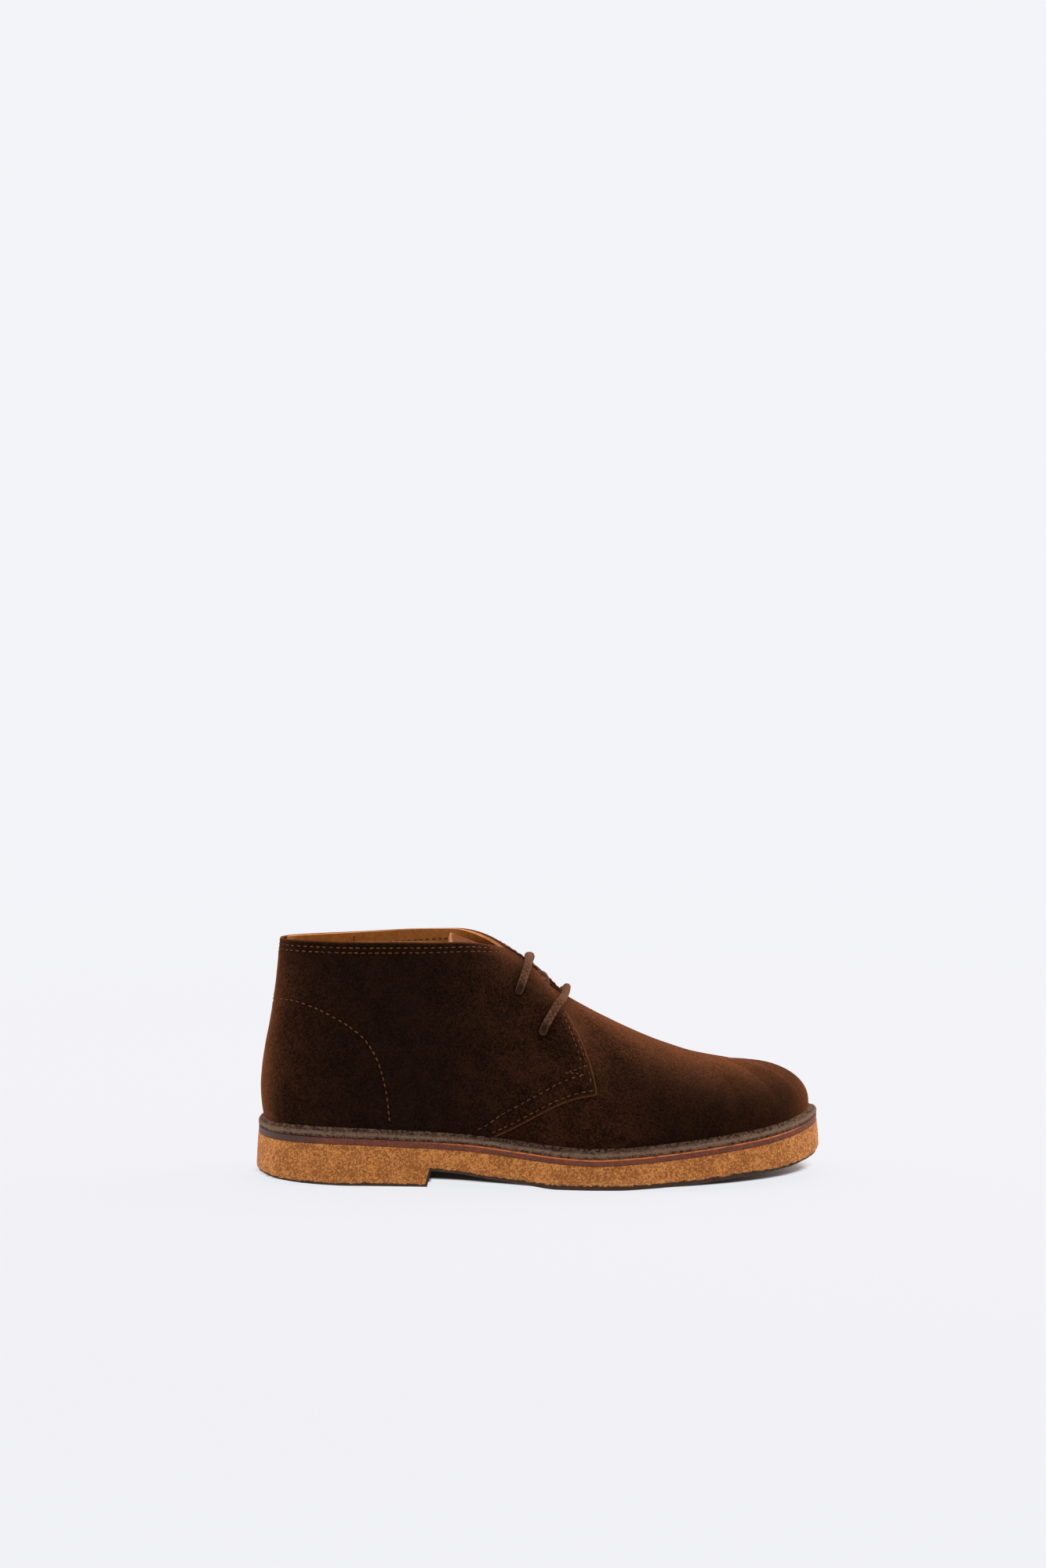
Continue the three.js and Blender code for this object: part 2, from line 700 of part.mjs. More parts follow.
// The strand that crosses in the gap between the facings, under both bars.
function crossingPath() {
  const [lower, upper] = lacing;
  const low = laceDiameter / 2 + clearance - (liningWall + crossClearance);
  const climbs = [1, 0.4, 0.07, 0.14, 0.4, 1];
  return climbs.map((climb, i) => {
    const f = i / (climbs.length - 1);
    const lift = low + climb * (laceLift - low);
    return skin(upper.crossing + f * (lower.crossing - upper.crossing), 1, lift);
  });
}

function laceSolid() {
  return cord(barPath(lacing[0])).add(cord(barPath(lacing[1]))).add(cord(crossingPath()));
}

const suede = new THREE.MeshStandardMaterial({ color: 0x3a2216, roughness: 0.95, metalness: 0 });
const tongueSuede = new THREE.MeshStandardMaterial({ color: 0x52331f, roughness: 0.95, metalness: 0 });
const leather = new THREE.MeshStandardMaterial({ color: 0x7a4020, roughness: 0.6, metalness: 0 });
const liningLeather = new THREE.MeshStandardMaterial({ color: 0x8f5c30, roughness: 0.7, metalness: 0 });
const crepe = new THREE.MeshStandardMaterial({ color: 0xb07840, roughness: 0.85, metalness: 0 });
const cotton = new THREE.MeshStandardMaterial({ color: 0x40281a, roughness: 0.9, metalness: 0 });

const boot = new THREE.Group();
const pieces = [
  ["outsole", outsoleSolid(), crepe],
  ["midsole", midsoleSolid(), leather],
  ["insole", insoleSolid(), liningLeather],
  ["upper", upperSolid(), suede],
  ["tongue", tongueSolid(), tongueSuede],
  ["lace", laceSolid(), cotton],
];
for (const [name, solid, material] of pieces) {
  const mesh = new THREE.Mesh(toGeometry(solid), material);
  mesh.name = name;
  boot.add(mesh);
}

// The origin is on the floor, under the middle of the boot.
const bounds = new THREE.Box3().setFromObject(boot);
const middle = bounds.getCenter(new THREE.Vector3());
boot.position.set(-middle.x, -middle.y, -bounds.min.z);

export default boot;
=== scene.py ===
"""Right desert boot: brown suede quarters over the vamp, turned-out edge, leather midsole, crepe sole.

Lengths are millimetres on the last (x from the heel, y from the outer to the inner side, z from the
floor) and become metres in the frame when a mesh gets its places.
"""
import logging
import math
from dataclasses import dataclass, field
from enum import Enum
from typing import Callable, ClassVar, Sequence

import bpy
import numpy as np
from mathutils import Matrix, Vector, noise
from mathutils.kdtree import KDTree


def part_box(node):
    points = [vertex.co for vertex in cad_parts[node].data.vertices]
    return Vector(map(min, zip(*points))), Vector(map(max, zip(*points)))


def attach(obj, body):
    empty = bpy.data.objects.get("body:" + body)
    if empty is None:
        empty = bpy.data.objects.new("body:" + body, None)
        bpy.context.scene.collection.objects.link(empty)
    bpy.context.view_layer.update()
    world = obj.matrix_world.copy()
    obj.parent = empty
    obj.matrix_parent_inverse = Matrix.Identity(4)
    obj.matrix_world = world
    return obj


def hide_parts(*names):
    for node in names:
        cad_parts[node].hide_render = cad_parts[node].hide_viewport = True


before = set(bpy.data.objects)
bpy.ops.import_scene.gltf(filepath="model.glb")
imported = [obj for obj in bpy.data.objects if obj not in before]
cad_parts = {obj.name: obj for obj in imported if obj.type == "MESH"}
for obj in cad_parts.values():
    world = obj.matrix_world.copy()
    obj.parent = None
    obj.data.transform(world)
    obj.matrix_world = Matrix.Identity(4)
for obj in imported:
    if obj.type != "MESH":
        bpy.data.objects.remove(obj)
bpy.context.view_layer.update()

LOG = logging.getLogger("desert_boot")
BODY = "root"
Array = np.ndarray
Color = tuple[float, float, float, float]
Place = tuple[float, float, float]
Socket = bpy.types.NodeSocket
Inputs = dict[int | str, object]
Chart = list[tuple[float, ...]]
Ring = tuple[float, Callable[[Array, Array], Array]]
UPPER_LOW, UPPER_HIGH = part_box("upper")
HEEL_X = UPPER_LOW[0]
MM = 0.001
# Holes for the lace: station and rise of the hole, station at which its bar crosses the ridge.
LACE_HOLES = ((7.37, 0.476, 8.95), (7.19, 0.68, 8.14))


def srgb(red: int, green: int, blue: int) -> Color:
    """Linear colour of three 0 to 255 screen values."""
    def linear(value: int) -> float:
        """Linear share of one screen value."""
        share = value / 255
        return share / 12.92 if share <= 0.04045 else ((share + 0.055) / 1.055) ** 2.4
    return (linear(red), linear(green), linear(blue), 1.0)


def unit(vectors: Array) -> Array:
    """Vectors scaled to length one."""
    length = np.linalg.norm(vectors, axis=-1, keepdims=True)
    return vectors / np.maximum(length, 1e-9)


def bell(distance: Array, reach: float) -> Array:
    """Soft bump that is one at no distance and falls off over the reach."""
    return np.exp(-(np.asarray(distance) / reach) ** 2)


def smooth_step(low: float, high: float, value: Array) -> Array:
    """Zero below low, one above high and a smooth ramp between."""
    share = np.clip((np.asarray(value, float) - low) / (high - low), 0, 1)
    return share * share * (3 - 2 * share)


def calm(before: Array, after: Array) -> Array:
    """Slope between two chords that never overshoots them."""
    most = 3 * np.minimum(np.abs(before), np.abs(after))
    return np.where(before * after <= 0, 0.0, np.clip((before + after) / 2, -most, most))


def hermite(start: Array, end: Array, slope_start: Array, slope_end: Array, share: Array) -> Array:
    """Cubic curve between two values.

    Args:
        start: Value at share zero.
        end: Value at share one.
        slope_start: Slope at share zero.
        slope_end: Slope at share one.
        share: Place between the two.

    Returns:
        The curve's value at each share.
    """
    square = share * share
    cube = square * share
    return ((2 * cube - 3 * square + 1) * start + (cube - 2 * square + share) * slope_start
            + (3 * square - 2 * cube) * end + (cube - square) * slope_end)


def grain(points: Array, size: float, seed: float = 0.0, octaves: int = 1) -> Array:
    """Smooth noise from -1 to 1 at each point.

    Args:
        points: Places in millimetres.
        size: Size of one blotch in millimetres.
        seed: Shift that gives another pattern.
        octaves: Number of finer layers.

    Returns:
        One value for each point.
    """
    places = points / size + seed
    return np.array([noise.fractal(Vector(place), 0.8, 2.1, octaves) for place in places])


def distance_to(points: Array, targets: Array) -> Array:
    """Distance to the nearest of some targets.

    Args:
        points: Places to measure from.
        targets: Places to measure to.

    Returns:
        One distance for each point.
    """
    tree = KDTree(len(targets))
    for index, target in enumerate(targets):
        tree.insert(target, index)
    tree.balance()
    return np.array([tree.find(point)[2] for point in points])


class Line:
    """Smooth line through the points of a table, flat where the table is flat."""

    def __init__(self, points: Sequence[tuple[float, float]]) -> None:
        """Keep the points and the slope at each."""
        self.at, self.value = np.array(points, float).T
        chord = np.diff(self.value) / np.diff(self.at)
        self.slope = np.concatenate([chord[:1], calm(chord[:-1], chord[1:]), chord[-1:]])

    def __call__(self, at: Array) -> Array:
        """Value of the line at each place."""
        place = np.clip(at, self.at[0], self.at[-1])
        i = np.clip(np.searchsorted(self.at, place, side="right") - 1, 0, len(self.at) - 2)
        step = self.at[i + 1] - self.at[i]
        return hermite(self.value[i], self.value[i + 1], self.slope[i] * step,
                       self.slope[i + 1] * step, (place - self.at[i]) / step)


class Side(Enum):
    """Side of the foot that a piece lies on."""

    OUTER = "outer"
    INNER = "inner"


@dataclass
class Last:
    """Form of the foot: stations run round the feather line, rises go up each rib to the top line."""

    length: float = (UPPER_HIGH[0] - UPPER_LOW[0]) / MM
    ball_width: float = 98.0
    collar_width: float = 53.0
    collar_height: float = 128.0
    toe_height: float = 60.6
    seat_height: float = 27.5
    heel_bulge: float = 3.9
    toe_drift: float = 6.5
    flange_width: float = 4.5
    flange_top: float = 2.8
    arch_square: float = 0.22
    arch_lift: float = 0.93
    throat_gap: float = 8.6
    throat_end: float = 163.0
    lining_wall: float = 1.6
    quarter_step: float = 1.3
    swing_start: float = 0.44
    swing_power: float = 1.3
    lean_limit: float = 1.2
    toe: int = 14
    ridge: int = 8
    # Columns: along and out of the feather line on the outer and the inner side, along and out of the
    # top line, rise of the top line, upright shaft, swell of the wall, squareness of the arch.
    stations: ClassVar[Chart] = [
        (0.000, 0.00, 0.000, 0.00, 0.044, 0.00, 0.985, 1.00, 1.00, 0.0),
        (0.008, 0.31, 0.008, 0.31, 0.050, 0.16, 0.985, 1.00, 0.92, 0.0),
        (0.037, 0.56, 0.037, 0.55, 0.074, 0.36, 0.985, 1.00, 0.72, 0.0),
        (0.101, 0.68, 0.101, 0.66, 0.125, 0.56, 0.985, 1.00, 0.51, 0.0),
        (0.209, 0.71, 0.209, 0.68, 0.195, 0.74, 0.990, 1.00, 0.46, 0.0),
        (0.320, 0.76, 0.327, 0.63, 0.276, 0.91, 1.000, 1.00, 0.46, 0.0),
        (0.421, 0.84, 0.431, 0.66, 0.347, 0.97, 1.000, 0.85, 0.51, 0.0),
        (0.512, 0.93, 0.529, 0.79, 0.407, 0.66, 0.955, 0.50, 0.51, 0.0),
        (0.606, 1.00, 0.620, 0.93, 0.465, 0.00, 0.827, 0.00, 0.51, 0.1),
        (0.697, 0.99, 0.707, 1.00, 0.549, 0.00, 0.523, 0.00, 0.51, 0.3),
        (0.785, 0.92, 0.791, 0.99, 0.653, 0.00, 0.269, 0.00, 0.51, 0.6),
        (0.869, 0.78, 0.869, 0.88, 0.747, 0.00, 0.098, 0.00, 0.51, 0.85),
        (0.939, 0.56, 0.939, 0.70, 0.818, 0.00, 0.023, 0.00, 0.38, 0.7),
        (0.984, 0.27, 0.984, 0.45, 0.855, 0.00, 0.003, 0.00, 0.26, 0.5),
        (1.000, -0.08, 1.000, 0.08, 0.865, 0.00, 0.000, 0.00, 0.26, 0.4),
    ]

    def __post_init__(self) -> None:
        """Turn the shares of the stations into a closed loop of rows in millimetres."""
        self.loop = 2 * self.toe
        self.seat_line = Line([
            (0.000, 1.000), (0.117, 0.945), (0.250, 0.890), (0.383, 0.830), (0.467, 0.727),
            (0.533, 0.647), (0.600, 0.611), (0.667, 0.647), (0.750, 0.735), (0.833, 0.836),
            (0.917, 0.955), (0.967, 1.070), (1.000, 1.180),
        ])
        self.swell_line = Line([
            (0, 0), (0.08, 0.55), (0.18, 0.92), (0.28, 1), (0.4, 0.82), (0.55, 0.42), (0.75, 0.1),
            (1, 0),
        ])
        rows = []
        for k in range(self.loop):
            outer = k <= self.toe
            row = self.stations[k if outer else self.loop - k]
            side = -1 if outer else 1
            along, out = (row[0], row[1]) if outer else (row[2], row[3])
            rows.append((
                self.length * along, side * self.ball_width / 2 * out, self.length * row[4],
                side * self.collar_width / 2 * row[5],
                self.toe_height + row[6] * (self.collar_height - self.toe_height),
                row[7], self.heel_bulge * row[8], row[9],
            ))
        self.rows = np.array(rows)
        before = self.rows - np.roll(self.rows, 1, axis=0)
        after = np.roll(self.rows, -1, axis=0) - self.rows
        self.slopes = calm(before, after)

    def row(self, station: Array) -> Array:
        """Smooth row of lengths at each station."""
        place = np.mod(station, self.loop)
        i = np.floor(place).astype(int) % self.loop
        j = (i + 1) % self.loop
        share = (place - np.floor(place))[..., None]
        return hermite(self.rows[i], self.rows[j], self.slopes[i], self.slopes[j], share)

    def seat(self, x: Array) -> Array:
        """Height of the midsole's top."""
        return self.seat_height * self.seat_line(x / self.length)

    def ridge_y(self, x: Array) -> Array:
        """Centre line of the vamp, which swings towards the big toe."""
        start = self.swing_start * self.length
        return self.toe_drift * np.clip((x - start) / start, 0, 1) ** self.swing_power

    def outline(self, station: Array, grow: Array = 0.0) -> Array:
        """Points of the turned-out edge.

        Args:
            station: Stations of the points.
            grow: How far each lies outside the edge.

        Returns:
            Flat places.
        """
        small = 1e-3
        here = self.row(station)
        run = unit((self.row(station + small) - self.row(station - small))[..., :2])
        out = np.stack([run[..., 1], -run[..., 0]], axis=-1)
        return here[..., :2] + out * np.asarray(grow)[..., None]

    def point(self, station: Array, rise: Array) -> Array:
        """Points on the outside of the shell.

        Args:
            station: Stations of the points.
            rise: Rises from the feather line, at zero, to the top line, at one.

        Returns:
            Places in millimetres.
        """
        station, rise = np.broadcast_arrays(np.asarray(station, float), np.asarray(rise, float))
        row = self.row(station)
        foot = self.outline(station, -self.flange_width)
        out = unit(row[..., :2] - foot)
        foot_z = self.seat(foot[..., 0]) + self.flange_top
        small, least_run = 0.05, 1e-3
        before, after = self.row(station - small), self.row(station + small)
        run = after[..., 2] - before[..., 2]
        steep = np.abs(run) >= least_run
        fall = np.where(steep, -(after[..., 4] - before[..., 4]) / np.where(steep, run, 1), 0)
        shaft = np.clip(row[..., 5], 0, 1)
        angle = rise * math.pi / 2
        power = 1 - self.arch_square * row[..., 7]
        arch = 1 - shaft
        inward = (1 - np.abs(np.cos(angle)) ** power) * arch + rise * shaft
        upward = np.sin(angle) ** (power * self.arch_lift) * arch + rise * shaft
        run_x = row[..., 2] - foot[..., 0]
        run_y = row[..., 3] + self.ridge_y(row[..., 2]) - foot[..., 1]
        lean = -np.clip(fall, 0, self.lean_limit) * arch * run_x
        swell = row[..., 6] * self.swell_line(rise)
        return np.stack([
            foot[..., 0] + run_x * inward + out[..., 0] * swell,
            foot[..., 1] + run_y * inward + out[..., 1] * swell,
            foot_z + lean * inward + (row[..., 4] - foot_z - lean) * upward,
        ], axis=-1)

    def normal(self, station: Array, rise: Array) -> Array:
        """Outward directions of the shell."""
        small = 0.02
        across = self.point(station + small, rise) - self.point(station - small, rise)
        low, high = np.clip(rise - small, 0, 1), np.clip(rise + small, 0, 1)
        return unit(np.cross(across, self.point(station, high) - self.point(station, low)))

    def skin(self, station: Array, rise: Array, offset: Array = 0.0) -> Array:
        """Points over or under the shell, where both sides agree on the ridge.

        Args:
            station: Stations of the points.
            rise: Rises of the points.
            offset: Height over the shell.

        Returns:
            Places in millimetres.
        """
        station, rise = np.broadcast_arrays(np.asarray(station, float), np.asarray(rise, float))
        direction = self.normal(station, rise)
        mirrored = self.normal(self.loop - station, rise)
        near = np.minimum(station, self.loop - station)
        share = smooth_step(0.97, 1.0, rise) * (near > self.ridge - 0.01)
        direction = unit(direction + mirrored * share[..., None])
        return self.point(station, rise) + direction * np.asarray(offset)[..., None]

    def throat_rise(self, station: Array) -> Array:
        """Rise at which each rib meets the throat's cut edge.

        Args:
            station: Stations of the ribs.

        Returns:
            The rises, one where a rib meets no cut.
        """
        station = np.asarray(station, float)
        half = self.throat_gap / 2
        nose = self.throat_end - half
        low, high = np.full(station.shape, 0.6), np.ones(station.shape)

        def outside(rise: Array) -> Array:
            """True where a point is clear of the cut."""
            place = self.point(station, rise)
            over = np.clip(place[..., 0] - nose, 0, half)
            away = np.abs(place[..., 1] - self.ridge_y(place[..., 0]))
            return away >= np.sqrt(np.maximum(half ** 2 - over ** 2, 0))

        open_end = outside(high - 1e-6)
        for _ in range(30):
            middle = (low + high) / 2
            clear = outside(middle)
            low, high = np.where(clear, middle, low), np.where(clear, high, middle)
        return np.where(open_end, 1.0, low)

    def shift(self, station: Array, rise: Array, distance: Array) -> tuple[Array, Array]:
        """Move a path to its left over the surface.

        Args:
            station: Stations along the path.
            rise: Rises along the path.
            distance: How far each point moves, in millimetres.

        Returns:
            The new stations and rises.
        """
        small = 0.01
        low, high = np.clip(rise - small, 0, 1), np.clip(rise + small, 0, 1)
        along = (self.point(station + small, rise) - self.point(station - small, rise)) / (2 * small)
        up = (self.point(station, high) - self.point(station, low)) / (high - low)[..., None]
        path = self.point(station, rise)
        tangent = unit(np.gradient(path, axis=0))
        side = np.cross(unit(np.cross(along, up)), tangent) * np.asarray(distance)[..., None]
        aa, au, uu = (along * along).sum(-1), (along * up).sum(-1), (up * up).sum(-1)
        sa, su = (along * side).sum(-1), (up * side).sum(-1)
        scale = aa * uu - au * au
        return station + (sa * uu - su * au) / scale, np.clip(rise + (su * aa - sa * au) / scale, 0, 1)


def select_only(piece: bpy.types.Object) -> None:
    """Make one object the only selected and active one."""
    bpy.ops.object.select_all(action="DESELECT")
    piece.select_set(True)
    bpy.context.view_layer.objects.active = piece


def add_grid(name: str, columns: int, rows: int) -> tuple[bpy.types.Object, Array, Array]:
    """Add a flat grid that is to be laid on a surface.

    Args:
        name: Name of the piece.
        columns: Number of faces along the first share.
        rows: Number of faces along the second share.

    Returns:
        The object and both shares, from 0 to 1, of each of its vertices.
    """
    bpy.ops.object.select_all(action="DESELECT")
    bpy.ops.mesh.primitive_grid_add(x_subdivisions=columns, y_subdivisions=rows, size=2.0)
    piece = bpy.context.active_object
    piece.name = piece.data.name = name
    flat = read_points(piece)
    return piece, (flat[:, 0] + 1) / 2, (flat[:, 1] + 1) / 2


def read_points(piece: bpy.types.Object) -> Array:
    """Places of a mesh's vertices as they are stored."""
    flat = np.empty(len(piece.data.vertices) * 3)
    piece.data.vertices.foreach_get("co", flat)
    return flat.reshape(-1, 3)


def place_points(piece: bpy.types.Object, points: Array) -> None:
    """Put a mesh's vertices at places in millimetres on the last."""
    metres = points * MM + np.array([HEEL_X, 0, 0])
    piece.data.vertices.foreach_set("co", metres.ravel())
    piece.data.update()


def on_last(piece: bpy.types.Object) -> Array:
    """Places of a finished mesh's vertices in millimetres on the last."""
    return (read_points(piece) - np.array([HEEL_X, 0, 0])) / MM


def write_mask(piece: bpy.types.Object, name: str, values: Array, whole: bool = False) -> None:
    """Keep one value for each vertex.

    Args:
        piece: The mesh.
        name: Name that materials and later steps read it by.
        values: One value for each vertex.
        whole: True for whole numbers.
    """
    attributes = piece.data.attributes
    mask = attributes.get(name) or attributes.new(name, "INT" if whole else "FLOAT", "POINT")
    mask.data.foreach_set("value", np.asarray(values, np.int32 if whole else float))


def read_mask(piece: bpy.types.Object, name: str, whole: bool = False) -> Array:
    """Values that a mesh keeps for its vertices under a name."""
    values = np.empty(len(piece.data.vertices), np.int32 if whole else float)
    piece.data.attributes[name].data.foreach_get("value", values)
    return values


def apply_modifier(piece: bpy.types.Object, kind: str, **settings: object) -> None:
    """Add a modifier and apply it.

    Args:
        piece: The mesh.
        kind: Type of the modifier.
        settings: Properties of the modifier.
    """
    modifier = piece.modifiers.new(kind.title(), kind)
    for key, value in settings.items():
        setattr(modifier, key, value)
    select_only(piece)
    bpy.ops.object.modifier_apply(modifier=modifier.name)


def edit_all(piece: bpy.types.Object, operator: Callable[..., set[str]], **settings: object) -> None:
    """Run an edit-mode operator on a whole mesh.

    Args:
        piece: The mesh.
        operator: The operator of bpy.ops.mesh.
        settings: Its settings.
    """
    select_only(piece)
    bpy.ops.object.mode_set(mode="EDIT")
    bpy.ops.mesh.select_all(action="SELECT")
    operator(**settings)
    bpy.ops.object.mode_set(mode="OBJECT")


def weld(piece: bpy.types.Object, distance: float = 0.02) -> None:
    """Merge vertices that lie closer together than a distance in millimetres."""
    edit_all(piece, bpy.ops.mesh.remove_doubles, threshold=distance * MM)


def turn_faces_out(piece: bpy.types.Object) -> None:
    """Make every face of a closed mesh point outwards."""
    edit_all(piece, bpy.ops.mesh.normals_make_consistent, inside=False)


def thicken(piece: bpy.types.Object, thickness: float) -> None:
    """Give a sheet its thickness inwards, with its cut edges in the second material."""
    apply_modifier(piece, "SOLIDIFY", thickness=thickness * MM, offset=-1.0, use_rim=True,
                   material_offset_rim=1, use_quality_normals=True)


def finish_piece(piece: bpy.types.Object, materials: Sequence[bpy.types.Material],
                 nodes: Sequence[str], angle: float = 40.0) -> None:
    """Shade a piece, give it its materials and tie it to the frame.

    Args:
        piece: The finished mesh.
        materials: Materials by face index.
        nodes: CAD nodes that the piece stands for.
        angle: Edges sharper than this many degrees stay sharp.
    """
    select_only(piece)
    bpy.ops.object.shade_smooth_by_angle(angle=math.radians(angle))
    piece.data.materials.clear()
    for material in materials:
        piece.data.materials.append(material)
    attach(piece, BODY)
    if nodes:
        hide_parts(*nodes)
    LOG.info("%s: %d faces", piece.name, len(piece.data.polygons))


class Nodes:
    """Short way to add and join shader nodes."""

    def __init__(self, tree: bpy.types.NodeTree) -> None:
        """Start on an empty tree."""
        self.tree = tree
        tree.nodes.clear()

    def add(self, kind: str, inputs: Inputs | None = None, **settings: object) -> bpy.types.Node:
        """Add a node, set it and fill or link its inputs.

        Args:
            kind: Node type without its prefix.
            inputs: Values or sockets by input name or number.
            settings: Properties of the node.

        Returns:
            The new node.
        """
        node = self.tree.nodes.new(f"ShaderNode{kind}")
        for key, value in settings.items():
            setattr(node, key, value)
        for key, value in (inputs or {}).items():
            if isinstance(value, Socket):
                self.tree.links.new(value, node.inputs[key])
            else:
                node.inputs[key].default_value = value
        return node

    def math(self, operation: str, first: object, second: object = 0.0) -> Socket:
        """Result of a sum of two values."""
        return self.add("Math", {0: first, 1: second}, operation=operation).outputs[0]

    def blend(self, share: object, low: object, high: object) -> Socket:
        """Colour between two colours."""
        return self.add("Mix", {0: share, 6: low, 7: high}, data_type="RGBA").outputs[2]

    def spread(self, value: object, low: float, high: float, start: float = 0.0,
               end: float = 1.0) -> Socket:
        """Value spread smoothly from one range to another and held inside it."""
        limits = {0: value, 1: low, 2: high, 3: start, 4: end}
        return self.add("MapRange", limits, interpolation_type="SMOOTHSTEP").outputs[0]

    def noise(self, places: Socket, scale: object, detail: float, roughness: float = 0.5,
              distortion: float = 0.0) -> Socket:
        """Soft noise from zero to one; the scale is in blotches per metre."""
        return self.add("TexNoise", {"Vector": places, "Scale": scale, "Detail": detail,
                                     "Roughness": roughness, "Distortion": distortion}).outputs["Fac"]

    def attribute(self, name: str) -> Socket:
        """Value that the mesh keeps under a name."""
        return self.add("Attribute", attribute_name=name).outputs["Fac"]

    def bump(self, height: Socket, strength: float, depth: float) -> Socket:
        """Normal that follows a height; the depth is in millimetres."""
        inputs = {"Height": height, "Strength": strength, "Distance": depth * MM}
        return self.add("Bump", inputs).outputs[0]

    def finish(self, color: Socket, roughness: object, normal: Socket,
               more: Inputs | None = None) -> None:
        """Join the principled shader to the output.

        Args:
            color: Base colour.
            roughness: Roughness, as a value or a socket.
            normal: Normal of the surface.
            more: Further inputs of the shader.
        """
        inputs = {"Base Color": color, "Roughness": roughness, "Normal": normal, **(more or {})}
        shader = self.add("BsdfPrincipled", inputs)
        self.add("OutputMaterial", {"Surface": shader.outputs[0]})


def new_group(name: str, inputs: Sequence[tuple[str, str, object]],
              outputs: Sequence[tuple[str, str]]) -> tuple[bpy.types.NodeTree, Nodes, bpy.types.Node]:
    """Make an empty shader node group with named sockets.

    Args:
        name: Name of the group.
        inputs: Name, kind and first value of each input.
        outputs: Name and kind of each output.

    Returns:
        The group, its nodes and its group input node.
    """
    group = bpy.data.node_groups.new(name, "ShaderNodeTree")
    for label, kind, value in inputs:
        socket = group.interface.new_socket(label, in_out="INPUT", socket_type=f"NodeSocket{kind}")
        if value is not None:
            socket.default_value = value
    for label, kind in outputs:
        group.interface.new_socket(label, in_out="OUTPUT", socket_type=f"NodeSocket{kind}")
    nodes = Nodes(group)
    return group, nodes, group.nodes.new("NodeGroupInput")


def make_nap() -> bpy.types.NodeTree:
    """Group for brushed fibres: tufts, soft brushed patches and fine speckle."""
    group, nodes, given = new_group("nap", [
        ("Vector", "Vector", None), ("Dark", "Color", None), ("Light", "Color", None),
        ("Fiber Size", "Float", 1.0), ("Patch Size", "Float", 14.0), ("Contrast", "Float", 1.0),
    ], [("Color", "Color"), ("Height", "Float")])
    places = given.outputs["Vector"]
    fine_scale = nodes.math("DIVIDE", 1.0 / MM, given.outputs["Fiber Size"])
    patch_scale = nodes.math("DIVIDE", 1.0 / MM, given.outputs["Patch Size"])
    fiber = nodes.noise(places, fine_scale, 4.0, 0.7)
    tuft = nodes.noise(places, nodes.math("MULTIPLY", fine_scale, 0.5), 3.0, 0.6, 0.6)
    patch = nodes.noise(places, patch_scale, 3.0, 0.55, 0.8)
    tone = nodes.math("ADD", nodes.math("MULTIPLY", fiber, 0.5), nodes.math("MULTIPLY", tuft, 0.5))
    tone = nodes.math("MULTIPLY", nodes.spread(tone, 0.36, 0.66), 0.78)
    broad = nodes.math("MULTIPLY", nodes.spread(patch, 0.34, 0.68), 0.22)
    centred = nodes.math("SUBTRACT", nodes.math("ADD", tone, broad), 0.5)
    share = nodes.math("ADD", nodes.math("MULTIPLY", centred, given.outputs["Contrast"]), 0.5)
    clamped = nodes.add("Clamp", {0: share}).outputs[0]
    color = nodes.blend(clamped, given.outputs["Dark"], given.outputs["Light"])
    height = nodes.math("ADD", nodes.math("MULTIPLY", fiber, 0.6), nodes.math("MULTIPLY", tuft, 0.6))
    result = group.nodes.new("NodeGroupOutput")
    group.links.new(color, result.inputs["Color"])
    group.links.new(height, result.inputs["Height"])
    return group


def make_break_up() -> bpy.types.NodeTree:
    """Group that breaks a mask up by noise: rubbed edges, crepe specks and the midsole's painted
    highlight.
    """
    group, nodes, given = new_group("break_up", [
        ("Vector", "Vector", None), ("Mask", "Float", 0.0), ("Break Size", "Float", 1.5),
        ("Amount", "Float", 1.0),
    ], [("Mask", "Float")])
    scale = nodes.math("DIVIDE", 1.0 / MM, given.outputs["Break Size"])
    torn = nodes.noise(given.outputs["Vector"], scale, 3.0, 0.65)
    broken = nodes.math("MULTIPLY", given.outputs["Mask"], nodes.spread(torn, 0.3, 0.6, 0.35, 1.0))
    amount = nodes.math("MULTIPLY", broken, given.outputs["Amount"])
    result = group.nodes.new("NodeGroupOutput")
    group.links.new(nodes.add("Clamp", {0: amount}).outputs[0], result.inputs["Mask"])
    return group


class Effects:
    """Shader node groups that several finishes share."""

    def __init__(self) -> None:
        """Build each group once."""
        self.nap_group = make_nap()
        self.break_up_group = make_break_up()

    def nap(self, nodes: Nodes, places: Socket, tones: tuple[object, object],
            sizes: tuple[float, float, float]) -> tuple[Socket, Socket]:
        """Place the group for brushed fibres.

        Args:
            nodes: Nodes of the material.
            places: Coordinates that the fibres follow.
            tones: Darker and lighter colour.
            sizes: Size of a fibre and of a brushed patch in millimetres, and the contrast.

        Returns:
            Colour and height.
        """
        labels = ("Vector", "Dark", "Light", "Fiber Size", "Patch Size", "Contrast")
        inputs = dict(zip(labels, (places, *tones, *sizes)))
        node = nodes.add("Group", inputs, node_tree=self.nap_group)
        return node.outputs["Color"], node.outputs["Height"]

    def break_up(self, nodes: Nodes, places: Socket, mask: Socket, size: float,
             amount: float = 1.0) -> Socket:
        """Place the group that breaks a mask up by noise.

        Args:
            nodes: Nodes of the material.
            places: Coordinates that the pattern follows.
            mask: What to break up: rubbed places, specks and the midsole's painted highlight.
            size: Size of the breaks in millimetres.
            amount: Strength of the whole.

        Returns:
            The broken mask.
        """
        inputs = {"Vector": places, "Mask": mask, "Break Size": size, "Amount": amount}
        return nodes.add("Group", inputs, node_tree=self.break_up_group).outputs["Mask"]


